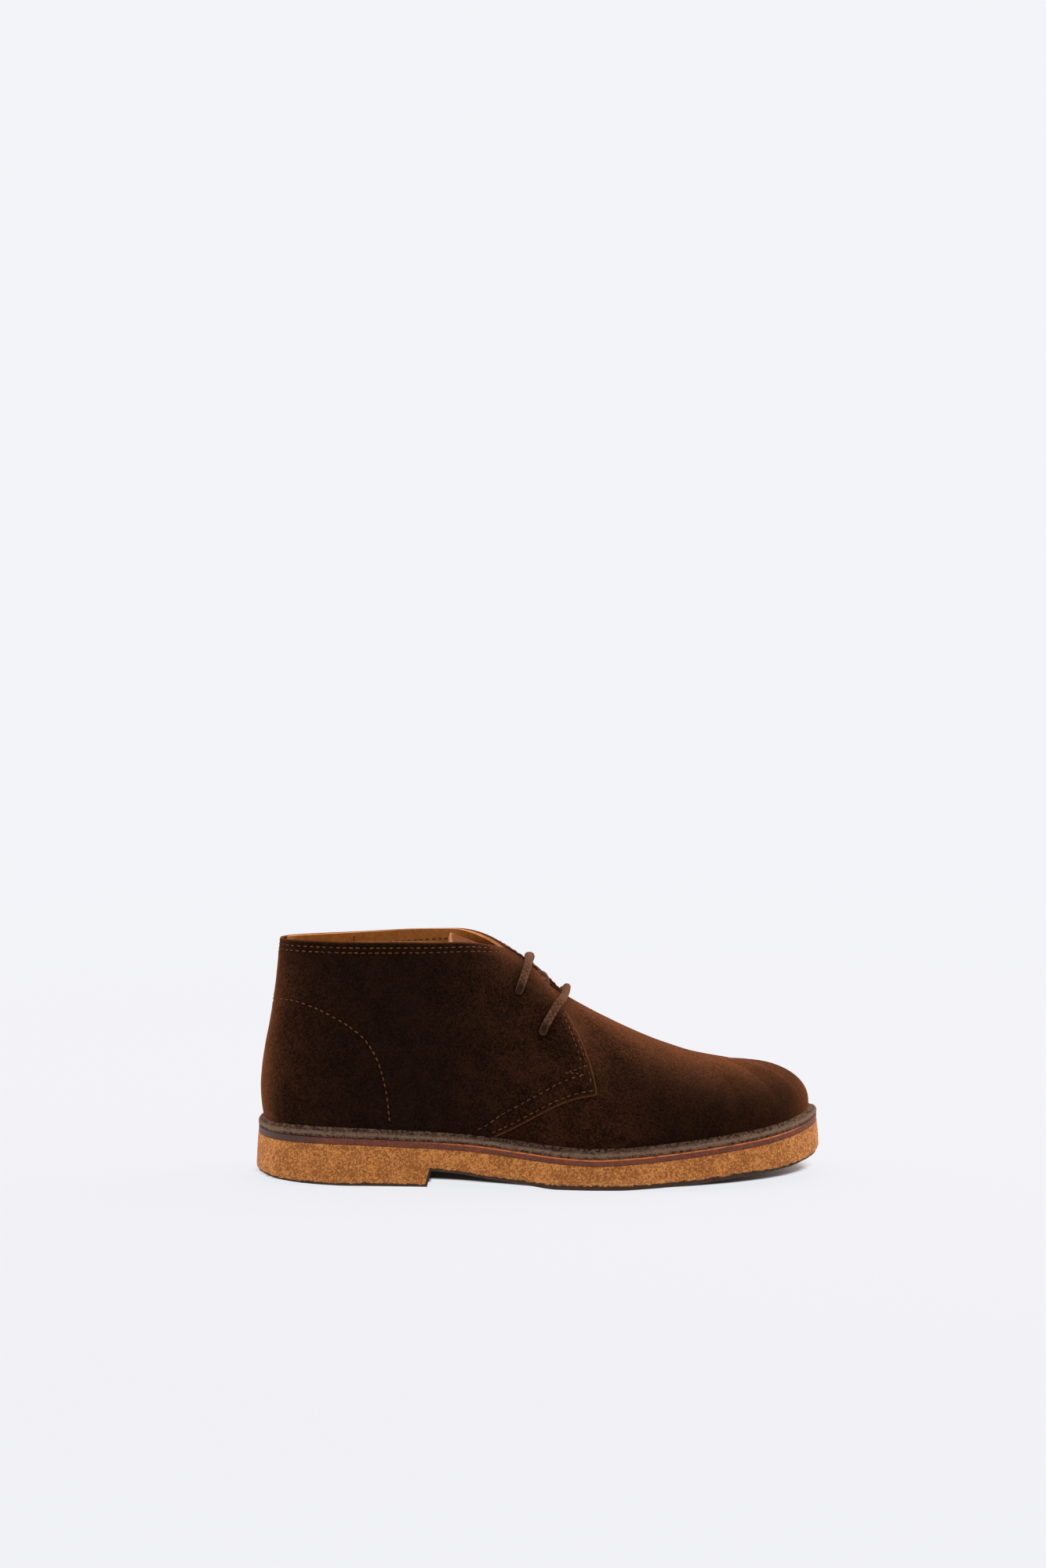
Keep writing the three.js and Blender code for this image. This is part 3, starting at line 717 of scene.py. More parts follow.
@dataclass(frozen=True)
class Finish:
    """A named finish with its darker and its lighter tone."""

    name: str
    dark: Color
    light: Color

    def start(self) -> tuple[bpy.types.Material, Nodes, Socket]:
        """New node material with the object's own coordinates."""
        material = bpy.data.materials.new(self.name)
        material.use_nodes = True
        nodes = Nodes(material.node_tree)
        return material, nodes, nodes.add("TexCoord").outputs["Object"]


@dataclass(frozen=True)
class Suede(Finish):
    """Napped leather with darker and lighter brushed patches, a painted highlight on its lit parts, pale
    rubbed edges, and darkening where it is pressed in that is partly painted shade.
    """

    edge: Color
    # Colour of the painted highlight at the heel back and the toe top, and weaker along the facing.
    painted_highlight: Color
    sizes: tuple[float, float, float] = (0.6, 16.0, 1.6)
    bump: float = 0.5
    sheen: float = 0.7
    sheen_tint: Color = srgb(205, 118, 68)

    def build(self, effects: Effects) -> bpy.types.Material:
        """Make the material; the mesh says where the painted highlight lies, where it is rubbed, and where
        it is pressed in and darkened by painted shade.
        """
        material, nodes, places = self.start()
        # Painted highlight: the lighter tone moves towards the highlight colour where the mask says.
        light = nodes.blend(nodes.attribute("painted_highlight"), self.light, self.painted_highlight)
        nap, height = effects.nap(nodes, places, (self.dark, light), self.sizes)
        rubbed = effects.break_up(nodes, places, nodes.attribute("edge"), 1.1)
        # Darker where stitches and holes press the nap in: partly pressed nap, partly painted shade in the
        # troughs and holes.
        pressed_and_shade = nodes.math("MULTIPLY", nodes.attribute("pressed_and_shade"), 0.55)
        color = nodes.blend(pressed_and_shade, nodes.blend(rubbed, nap, self.edge), self.dark)
        nodes.finish(color, 0.95, nodes.bump(height, self.bump, 0.7), {
            "Specular IOR Level": 0.04, "Sheen Weight": self.sheen, "Sheen Roughness": 0.45,
            "Sheen Tint": self.sheen_tint,
        })
        return material


@dataclass(frozen=True)
class CutEdge(Finish):
    """Raw edge of leather: fibrous, with a paler core."""

    def build(self, effects: Effects) -> bpy.types.Material:
        """Make the material from the shared groups."""
        material, nodes, places = self.start()
        nap, height = effects.nap(nodes, places, (self.dark, self.light), (0.45, 5.0, 1.2))
        nodes.finish(nap, 0.9, nodes.bump(height, 0.5, 0.4))
        return material


@dataclass(frozen=True)
class Leather(Finish):
    """Smooth leather with pores, used inside the boot."""

    roughness: float = 0.55
    pore: float = 0.9

    def build(self, effects: Effects) -> bpy.types.Material:
        """Make the material from the shared groups."""
        material, nodes, places = self.start()
        nap, height = effects.nap(nodes, places, (self.dark, self.light), (1.6, 22.0, 0.8))
        pores = nodes.add("TexVoronoi", {"Vector": places, "Scale": 1.0 / (self.pore * MM)},
                          feature="DISTANCE_TO_EDGE").outputs["Distance"]
        rough = nodes.spread(height, 0.3, 0.9, self.roughness - 0.08, self.roughness + 0.12)
        nodes.finish(nap, rough, nodes.bump(nodes.spread(pores, 0.0, 0.12), 0.18, 0.2),
                     {"Specular IOR Level": 0.35})
        return material


@dataclass(frozen=True)
class StackedEdge(Finish):
    """Trimmed edge of the midsole: red-brown with a painted highlight along its top and fine drag marks.
    """

    # Colour of the painted highlight along the top of the edge.
    line: Color
    dull: Color = srgb(64, 47, 38)

    def build(self, effects: Effects) -> bpy.types.Material:
        """Make the material; the mesh says how high up the edge each point is."""
        material, nodes, places = self.start()
        nap, height = effects.nap(nodes, places, (self.dark, self.light), (0.9, 11.0, 1.1))
        # Painted highlight along the top of the edge, where the mask says, broken up by noise.
        upper = nodes.spread(nodes.attribute("high"), 0.72, 0.88)
        lit = nodes.math("MULTIPLY", upper, nodes.attribute("bright"))
        color = nodes.blend(effects.break_up(nodes, places, lit, 3.0), nap, self.line)
        dim = nodes.math("MULTIPLY", nodes.attribute("grey"), 0.8)
        nodes.finish(nodes.blend(dim, color, self.dull), 0.62, nodes.bump(height, 0.35, 0.4))
        return material


@dataclass(frozen=True)
class Crepe(Finish):
    """Natural crepe rubber: crinkled amber sheets with pits, darker specks and a dark lower edge that is
    painted shade with some dirt.
    """

    pit: Color
    # Colour of the dark lower edge: painted shade under the rounding, with some dirt.
    under: Color = srgb(58, 36, 18)
    crumb: float = 1.5

    def build(self, effects: Effects) -> bpy.types.Material:
        """Make the material; the mesh says how low on the sole each point is."""
        material, nodes, places = self.start()
        nap, fuzz = effects.nap(nodes, places, (self.dark, self.light), (0.7, 12.0, 2.4))
        flattened = nodes.add("Mapping", {"Vector": places, "Scale": (1.0, 1.0, 1.6)}).outputs[0]
        crumb = nodes.add("TexVoronoi", {"Vector": flattened, "Scale": 1.0 / (self.crumb * MM),
                                         "Randomness": 1.0}).outputs["Distance"]
        rare = nodes.spread(nodes.noise(places, 0.3 / MM, 2.0), 0.44, 0.6)
        speck = nodes.math("MULTIPLY", nodes.spread(crumb, 0.3, 0.14), rare)
        color = nodes.blend(effects.break_up(nodes, places, speck, 1.0, 0.85), nap, self.pit)
        # Noise breaks up the painted shade along the lower edge.
        torn = nodes.math("MULTIPLY", nodes.noise(places, 0.35 / MM, 3.0), 0.7)
        low = nodes.math("ADD", nodes.attribute("low"), torn)
        shaded = nodes.blend(nodes.spread(low, 0.95, 1.12), color, self.under)
        height = nodes.math("ADD", nodes.math("MULTIPLY", crumb, 0.7), nodes.math("MULTIPLY", fuzz, 0.9))
        nodes.finish(shaded, 0.72, nodes.bump(height, 0.55, 0.8), {
            "Specular IOR Level": 0.3, "Subsurface Weight": 0.08,
            "Subsurface Radius": (0.004, 0.002, 0.001),
        })
        return material


@dataclass(frozen=True)
class Cord(Finish):
    """Round braided cotton with a fuzzy surface and painted shade where it enters its holes; the pattern
    follows the cord's own map.
    """

    turns: float = 4.0
    # Colour of the painted shade where the cord goes into its holes.
    painted_hole_shade: Color = srgb(14, 8, 5)

    def build(self, effects: Effects) -> bpy.types.Material:
        """Make the material; the map runs once round and in cord widths along."""
        material, nodes, places = self.start()
        nap, fuzz = effects.nap(nodes, places, (self.dark, self.light), (0.5, 6.0, 1.2))
        split = nodes.add("SeparateXYZ", {0: nodes.add("UVMap", uv_map="UVMap").outputs[0]})
        along, round_it = (nodes.math("MULTIPLY", split.outputs[k], 2 * math.pi * self.turns)
                           for k in (0, 1))
        left, right = (nodes.math("SINE", nodes.math(way, along, round_it))
                       for way in ("ADD", "SUBTRACT"))
        braid = nodes.math("MAXIMUM", left, right)
        share = nodes.math("MULTIPLY", nodes.spread(braid, -0.4, 0.9, 1.0, 0.0), 0.55)
        # Painted shade: the cord darkens towards its ends, where it runs into the holes.
        hidden = nodes.math("MULTIPLY", nodes.attribute("painted_hole_shade"), 0.8)
        color = nodes.blend(hidden, nodes.blend(share, nap, self.dark), self.painted_hole_shade)
        height = nodes.math("ADD", nodes.math("MULTIPLY", braid, 0.5), nodes.math("MULTIPLY", fuzz, 0.8))
        nodes.finish(color, 0.92, nodes.bump(height, 0.5, 0.35), {
            "Specular IOR Level": 0.15, "Sheen Weight": 0.5, "Sheen Roughness": 0.5,
            "Sheen Tint": srgb(205, 140, 100),
        })
        return material


@dataclass(frozen=True)
class Thread(Finish):
    """Waxed sewing thread."""

    def build(self, effects: Effects) -> bpy.types.Material:
        """Make the material from the shared groups."""
        material, nodes, places = self.start()
        nap, height = effects.nap(nodes, places, (self.dark, self.light), (0.6, 18.0, 1.3))
        nodes.finish(nap, 0.8, nodes.bump(height, 0.3, 0.15), {"Specular IOR Level": 0.12})
        return material


class Palette:
    """Every finish of the boot, built once."""

    def __init__(self) -> None:
        """Build the shared groups and then each material."""
        effects = Effects()
        self.quarter = Suede("quarter_suede", srgb(9, 5, 3), srgb(33, 19, 12), srgb(112, 66, 40),
                             srgb(88, 50, 29)).build(effects)
        self.vamp = Suede("vamp_suede", srgb(12, 7, 4), srgb(45, 24, 13), srgb(96, 56, 34),
                          srgb(90, 50, 28)).build(effects)
        self.tongue = Suede("tongue_suede", srgb(62, 36, 22), srgb(106, 66, 42), srgb(186, 134, 102),
                            srgb(106, 66, 42), sizes=(0.6, 9.0, 1.6)).build(effects)
        self.flange = Suede("turned_edge_suede", srgb(44, 31, 24), srgb(122, 94, 76),
                            srgb(138, 112, 92), srgb(122, 94, 76), sizes=(0.9, 5.0, 1.7), bump=0.7,
                            sheen=0.5, sheen_tint=srgb(170, 130, 105)).build(effects)
        self.suede_cut = CutEdge("suede_cut_edge", srgb(96, 58, 36), srgb(168, 112, 76)).build(effects)
        self.pale_cut = CutEdge("pale_cut_edge", srgb(176, 136, 98), srgb(228, 196, 158)).build(effects)
        self.lining = Leather("lining_leather", srgb(168, 98, 36), srgb(212, 138, 62)).build(effects)
        self.insole = Leather("insole_leather", srgb(120, 76, 42), srgb(168, 116, 72)).build(effects)
        self.midsole = StackedEdge("midsole_edge", srgb(84, 34, 15), srgb(134, 62, 28),
                                   srgb(232, 124, 56)).build(effects)
        self.crepe = Crepe("crepe_rubber", srgb(158, 90, 36), srgb(222, 146, 74),
                           srgb(98, 52, 22)).build(effects)
        self.cord = Cord("lace_cord", srgb(46, 27, 17), srgb(108, 68, 45)).build(effects)
        self.thread = Thread("upper_thread", srgb(66, 39, 22), srgb(134, 82, 46)).build(effects)
        self.pale_thread = Thread("edge_thread", srgb(64, 44, 32), srgb(150, 114, 88)).build(effects)


@dataclass
class Row:
    """A row of stitches along a path on the shell."""

    station: Array
    rise: Array
    pitch: float = 3.6
    length: float = 2.6
    offset: float = 1.3


@dataclass
class Pattern:
    """Cutting lines and stitch rows of the upper, worked out on the last."""

    last: Last
    facing_inset: tuple[float, float] = (2.2, 4.3)
    collar_inset: tuple[float, float] = (3.3, 5.9)
    edge_inset: float = 2.7
    row_feet: tuple[float, float] = (0.30, 0.385)
    facing_station: float = 7.0
    collar_turn: tuple[float, float] = (7.2, 4.5)
    tack_pitch: float = 2.5
    tack_length: float = 2.2
    corner_rise: float = 0.262
    samples: int = 160
    # Stations and rises of the rows that run alone: beside the vamp's seam, at the heel, the triangle.
    strip: ClassVar[Chart] = [
        (5.72, 0.046), (5.91, 0.074), (6.24, 0.128), (6.58, 0.166), (6.92, 0.202), (7.23, 0.236),
        (7.55, 0.274), (7.91, 0.326),
    ]
    counter: ClassVar[Chart] = [
        (0.02, 0.656), (0.9, 0.672), (1.93, 0.676), (2.82, 0.644), (3.39, 0.588), (3.77, 0.524),
        (3.98, 0.462), (4.13, 0.382), (4.22, 0.278), (4.26, 0.174), (4.27, 0.058),
    ]
    tack: ClassVar[Chart] = [
        (7.91, 0.326), (7.75, 0.318), (7.58, 0.304), (7.79, 0.338), (8.02, 0.382),
    ]

    def __post_init__(self) -> None:
        """Work out the facing's edge and the rows inside it."""
        self.edge = Line([
            (0, 5.85), (0.05, 6.26), (0.1, 6.7), (0.148, 7.13), (0.188, 7.52), (0.225, 7.83),
            (0.262, 8.08), (0.34, 8.12), (0.5, 8.15), (0.7, 8.16), (0.83, 8.17), (0.89, 8.24),
            (0.95, 8.45), (1, 8.6),
        ])
        scan = np.linspace(7.4, 8.6, 241)
        cut = self.last.throat_rise(scan)
        self.collar_front = scan[np.argmax(cut < 0.9995)]
        self.meet = scan[np.argmin(np.abs(self.edge(cut) - scan) + 9 * (cut > 0.97))]
        self.meet_rise = float(self.last.throat_rise(np.array([self.meet]))[0])
        rises = np.linspace(0, self.meet_rise, self.samples)
        stations = np.linspace(self.meet, self.collar_front, 40)[1:]
        self.front_station = np.concatenate([self.edge(rises), stations])
        front_rise = np.concatenate([rises, self.last.throat_rise(stations)])
        front_rise[-1] = 1.0
        self.front_rise = front_rise
        path = self.last.point(self.front_station, self.front_rise)
        steps = np.linalg.norm(np.diff(path, axis=0), axis=1)
        self.front_share = np.concatenate([[0], np.cumsum(steps)]) / steps.sum()
        self.corner_share = float(np.interp(self.corner_rise, self.front_rise[:self.samples],
                                            self.front_share[:self.samples]))

    def front(self, share: Array) -> tuple[Array, Array]:
        """Station and rise on the quarter's front edge, from the feather line up to the collar."""
        return (np.interp(share, self.front_share, self.front_station),
                np.interp(share, self.front_share, self.front_rise))

    def inset(self, station: Array, rise: Array, distance: Array) -> tuple[Array, Array]:
        """Path at a distance inside an edge, without the loops that corners would give.

        Args:
            station: Stations along the edge.
            rise: Rises along the edge.
            distance: Distance inside it, in millimetres.

        Returns:
            Stations and rises of the path.
        """
        moved_station, moved_rise = self.last.shift(station, rise, distance)
        border = self.last.point(station, rise)
        gap = distance_to(self.last.point(moved_station, moved_rise), border)
        kept = gap > 0.93 * np.asarray(distance)
        moved_station, moved_rise = moved_station[kept], moved_rise[kept]
        window = np.ones(5) / 5

        def ease(values: Array) -> Array:
            """Moving average with both ends held."""
            padded = np.concatenate([np.full(2, values[0]), values, np.full(2, values[-1])])
            return np.convolve(padded, window, mode="valid")

        return ease(moved_station), ease(moved_rise)

    def facing_rows(self) -> list[Row]:
        """Double row up the facing and back along the collar, and the row at the quarter's foot."""
        share = np.linspace(self.corner_share + 0.02, 1, 220)
        up_station, up_rise = self.front(share)
        back = np.linspace(self.collar_front, 0.03, 260)[1:]
        station = np.concatenate([up_station, back])
        rise = np.concatenate([up_rise, np.ones(len(back))])
        rows = []
        turn = smooth_step(*self.collar_turn, back)
        for front, rear, foot in zip(self.facing_inset, self.collar_inset, self.row_feet):
            distance = np.concatenate([np.full(len(share), front), front + (rear - front) * turn])
            inner_station, inner_rise = self.inset(station, rise, distance)
            kept = (inner_rise > foot) | (inner_station < self.facing_station)
            rows.append(Row(inner_station[kept], inner_rise[kept]))
        share = np.linspace(0.02, self.corner_share, 90)
        low_station, low_rise = self.front(share)
        rows.append(Row(*self.inset(low_station, low_rise, np.full(90, self.edge_inset))))
        return rows

    def rows(self) -> list[Row]:
        """Stitch rows on the outer side, from the heel to the facing."""
        rows = self.facing_rows()
        for chart in (self.strip, self.counter):
            fine = np.linspace(0, len(chart) - 1, 120)
            rows.append(Row(*(Line(list(enumerate(values)))(fine) for values in zip(*chart))))
        fine = np.linspace(0, len(self.tack) - 1, 40)
        knots = np.arange(len(self.tack))
        corners = (np.interp(fine, knots, values) for values in zip(*self.tack))
        rows.append(Row(*corners, pitch=self.tack_pitch, length=self.tack_length))
        return rows


@dataclass(frozen=True)
class Crease:
    """A soft trough or ridge pressed into the upper."""

    station: float
    rise: float
    reach_station: float
    reach_rise: float
    slant: float
    height: float


@dataclass
class Upper:
    """Suede quarters, vamp, lining and the turned-out edge."""

    last: Last
    pattern: Pattern
    palette: Palette
    suede: float = 1.2
    vamp_suede: float = 1.0
    lining_gap: float = 0.15
    trough: float = 0.28
    trough_reach: float = 0.9
    swell: float = 0.12
    swell_at: float = 2.2
    swell_reach: float = 1.2
    thinning: float = 0.30
    thinning_reach: float = 0.8
    rub_reach: float = 0.55
    vamp_back: float = 5.5
    vamp_level: float = 0.45
    hole_reach: float = 4.4
    hole_depth: float = 0.5
    hole_flat: float = 1.5
    # Turned edge, once round its cut: out from the feather line and up from the seat.
    flange_profile: ClassVar[Chart] = [
        (-1.4, 0.35), (-1.4, 3.6), (-0.5, 5.6), (0.25, 4.9), (0.6, 4.3), (1.1, 3.8), (1.8, 3.45),
        (2.6, 3.25), (3.4, 3.1), (4.1, 2.85), (4.45, 2.4), (4.55, 1.8), (4.55, 1.1), (4.5, 0.6),
        (4.35, 0.32), (-1.4, 0.35),
    ]
    creases: list[Crease] = field(default_factory=lambda: [
        Crease(9.35, 0.52, 0.34, 0.20, 0.35, -0.22), Crease(10.05, 0.62, 0.36, 0.20, 0.25, -0.12),
        Crease(9.70, 0.55, 0.32, 0.22, 0.30, 0.12), Crease(6.60, 0.52, 0.95, 0.075, -0.06, -0.60),
        Crease(6.90, 0.68, 0.80, 0.060, -0.05, 0.40), Crease(5.30, 0.33, 1.10, 0.10, 0.05, -0.45),
        Crease(2.60, 0.80, 0.95, 0.075, 0.03, -0.45), Crease(4.20, 0.74, 1.10, 0.09, -0.04, 0.40),
        Crease(1.20, 0.40, 0.80, 0.10, 0.0, 0.30), Crease(7.70, 0.40, 0.35, 0.10, 0.1, -0.35),
    ])

    def crease(self, station: Array, rise: Array) -> Array:
        """Height of the troughs and ridges, which lie a bit further on the inner side.

        Args:
            station: Stations of the points.
            rise: Rises of the points.

        Returns:
            Heights in millimetres.
        """
        inner = station > self.last.toe
        near = np.where(inner, self.last.loop - station + 0.18, station)
        total = np.zeros(np.shape(station))
        for crease in self.creases:
            along = near - crease.station
            across = rise - crease.rise - crease.slant * along
            total += crease.height * bell(along, crease.reach_station) * bell(across, crease.reach_rise)
        return total * np.where(inner, 0.8, 1.0)

    def lined(self, station: Array, rise: Array, offset: Array) -> Array:
        """Places of the lining, which follows the creases where it backs the suede.

        Args:
            station: Stations of the points.
            rise: Rises of the points.
            offset: Height over the shell.

        Returns:
            Places in millimetres.
        """
        share = smooth_step(0, 0.12, rise) * smooth_step(1.0, 0.9, rise)
        return self.last.skin(station, rise, offset + self.crease(station, rise) * share)

    def row_points(self) -> Array:
        """Places of all stitch rows on the shell, both sides."""
        places = []
        for row in self.pattern.rows():
            for station in (row.station, self.last.loop - row.station):
                places.append(self.last.skin(station, row.rise, row.offset))
        return np.concatenate(places)

    def hole_points(self) -> Array:
        """Places of the four punched holes on the shell."""
        station, rise, _ = np.array(LACE_HOLES).T
        return np.concatenate([self.last.skin(station, rise, self.last.quarter_step),
                               self.last.skin(self.last.loop - station, rise, self.last.quarter_step)])

    def lay(self, piece: bpy.types.Object, station: Array, rise: Array, offset: float,
            border: Array, rows: Array | None = None) -> None:
        """Lay a panel on the last with its creases, troughs and thinned edges.

        Args:
            piece: Grid that becomes the panel.
            station: Station of each vertex.
            rise: Rise of each vertex.
            offset: Height over the shell.
            border: Places of the raw edges.
            rows: Places of stitches that press into the panel, or none.
        """
        plain = self.last.skin(station, rise, offset)
        edge = distance_to(plain, border)
        height = offset + self.crease(station, rise) * smooth_step(0, 8, edge)
        height += 0.10 * grain(plain, 9.0, 3.1) - self.thinning * bell(edge, self.thinning_reach)
        pressed_and_shade = np.zeros(len(plain))
        if rows is not None:
            beside = distance_to(plain, rows)
            pressed_and_shade = bell(beside, self.trough_reach)
            height += (self.swell * bell(beside - self.swell_at, self.swell_reach)
                       - self.trough * pressed_and_shade)
            # Round each hole the suede is darkened: painted shade in the hole.
            around = distance_to(plain, self.hole_points())
            pressed_and_shade = np.maximum(pressed_and_shade, 1.6 * smooth_step(self.hole_reach, 2.0, around))
            height -= self.hole_depth * smooth_step(self.hole_reach, self.hole_flat, around)
        place_points(piece, self.last.skin(station, rise, height))
        write_mask(piece, "edge", bell(edge, self.rub_reach))
        # Mask for darker suede along the stitch troughs and round the holes: pressed nap and painted
        # shade.
        write_mask(piece, "pressed_and_shade", pressed_and_shade)
        # Painted highlight at the heel back and the toe top, weaker along the facing.
        near = np.minimum(station, self.last.loop - station)
        heel = bell(near, 2.1) * smooth_step(1.1, 0.7, rise)
        facing = 0.35 * smooth_step(4.5, 7.5, near) * smooth_step(9.5, 8.0, near)
        toe = smooth_step(8.0, 9.5, near) * smooth_step(0.35, 0.9, rise)
        write_mask(piece, "painted_highlight", np.clip(heel + facing + toe, 0, 1))

    def build_quarter(self, side: Side, rows: Array) -> None:
        """Build one quarter, from the back seam round to the facing.

        Args:
            side: Side of the foot.
            rows: Places of the stitches.
        """
        piece, along, up = add_grid(f"quarter_{side.value}", 210, 110)
        front_station, front_rise = self.pattern.front(up)
        station = along * front_station
        rise = (1 - along) * up + along * front_rise
        share = np.linspace(0, 1, 900)
        edge_station, edge_rise = self.pattern.front(share)
        collar = np.linspace(0, self.pattern.collar_front, 500)
        border_station = np.concatenate([edge_station, collar])
        border_rise = np.concatenate([edge_rise, np.ones(500)])
        if side is Side.INNER:
            station = self.last.loop - station
            border_station = self.last.loop - border_station
        border = self.last.skin(border_station, border_rise, self.last.quarter_step)
        self.lay(piece, station, rise, self.last.quarter_step, border, rows)
        if side is Side.INNER:
            piece.data.flip_normals()
        thicken(piece, self.suede)
        finish_piece(piece, [self.palette.quarter, self.palette.suede_cut], ["upper"])

    def build_vamp(self) -> None:
        """Vamp, which runs under the quarters and ends at the throat."""
        piece, along, up = add_grid("vamp", 300, 74)
        station = self.vamp_back + along * (self.last.loop - 2 * self.vamp_back)
        near = np.minimum(station, self.last.loop - station)
        hidden = smooth_step(8.0, 8.3, near)
        top = self.last.throat_rise(station)
        rise = up * (self.vamp_level + (top - self.vamp_level) * hidden)
        throat = np.linspace(8.2, 9.0, 160)
        throat_rise = self.last.throat_rise(throat)
        border = np.concatenate([self.last.point(throat, throat_rise),
                                 self.last.point(self.last.loop - throat, throat_rise)])
        self.lay(piece, station, rise, 0.0, border)
        weld(piece)
        thicken(piece, self.vamp_suede)
        finish_piece(piece, [self.palette.vamp, self.palette.suede_cut], ["upper"])

    def build_lining(self) -> None:
        """Leather lining, which ends just under the collar's rim."""
        piece, along, up = add_grid("lining", 260, 60)
        station = along * self.last.loop
        near = np.minimum(station, self.last.loop - station)
        rise = up * self.last.throat_rise(station)
        under_vamp = smooth_step(7.8, 8.3, near) * (self.vamp_suede - self.lining_gap)
        place_points(piece, self.lined(station, rise, -self.lining_gap - under_vamp))
        write_mask(piece, "station", station)
        write_mask(piece, "rise", rise)
        weld(piece)
        outer = len(piece.data.vertices)
        thicken(piece, self.last.lining_wall - self.lining_gap)
        points = on_last(piece)
        inside = self.lined(read_mask(piece, "station"), read_mask(piece, "rise"), -self.last.lining_wall)
        points[outer:] = inside[outer:]
        place_points(piece, points)
        finish_piece(piece, [self.palette.lining, self.palette.pale_cut], ["upper"])

    def build_flange(self) -> None:
        """Turned-out edge all round, with a fillet at the feather line and a ragged cut edge."""
        profile = np.array(self.flange_profile)
        piece, along, round_it = add_grid("turned_edge", 720, len(profile) - 1)
        knots = np.arange(len(profile))
        place = round_it * (len(profile) - 1)
        out = np.interp(place, knots, profile[:, 0])
        high = np.interp(place, knots, profile[:, 1])
        station = along * self.last.loop
        near = np.minimum(station, self.last.loop - station)
        under_quarter = smooth_step(6.1, 5.8, near)
        inner = np.clip(1 - out / 4.0, 0, 1) * (out > -1.3)
        out = out + self.last.quarter_step * under_quarter * inner
        flat = self.last.outline(station, out - self.last.flange_width)
        points = np.concatenate([flat, (self.last.seat(flat[:, 0]) + high)[:, None]], axis=1)
        rough = np.clip((out - 2.0) / 2.5, 0, 1) * (high > 0.4)
        shift = 0.28 * grain(points, 3.2, 7.7, 3) * rough
        points[:, :2] = self.last.outline(station, out - self.last.flange_width + shift)
        points[:, 2] += 0.25 * grain(points, 4.5, 1.3, 2) * (high > 1.9) * (out > 0.5)
        place_points(piece, points)
        write_mask(piece, "edge", 0.75 * bell(out - 4.5, 0.9) * (high > 1.2))
        # Darker next to the feather line: painted shade in the corner under the upper.
        write_mask(piece, "pressed_and_shade", 0.4 * smooth_step(1.2, 0.0, out))
        weld(piece)
        finish_piece(piece, [self.palette.flange], ["upper"], angle=60)

    def build(self) -> None:
        """Build every layer of the upper."""
        rows = self.row_points()
        self.build_lining()
        self.build_vamp()
        for side in Side:
            self.build_quarter(side, rows)
        self.build_flange()


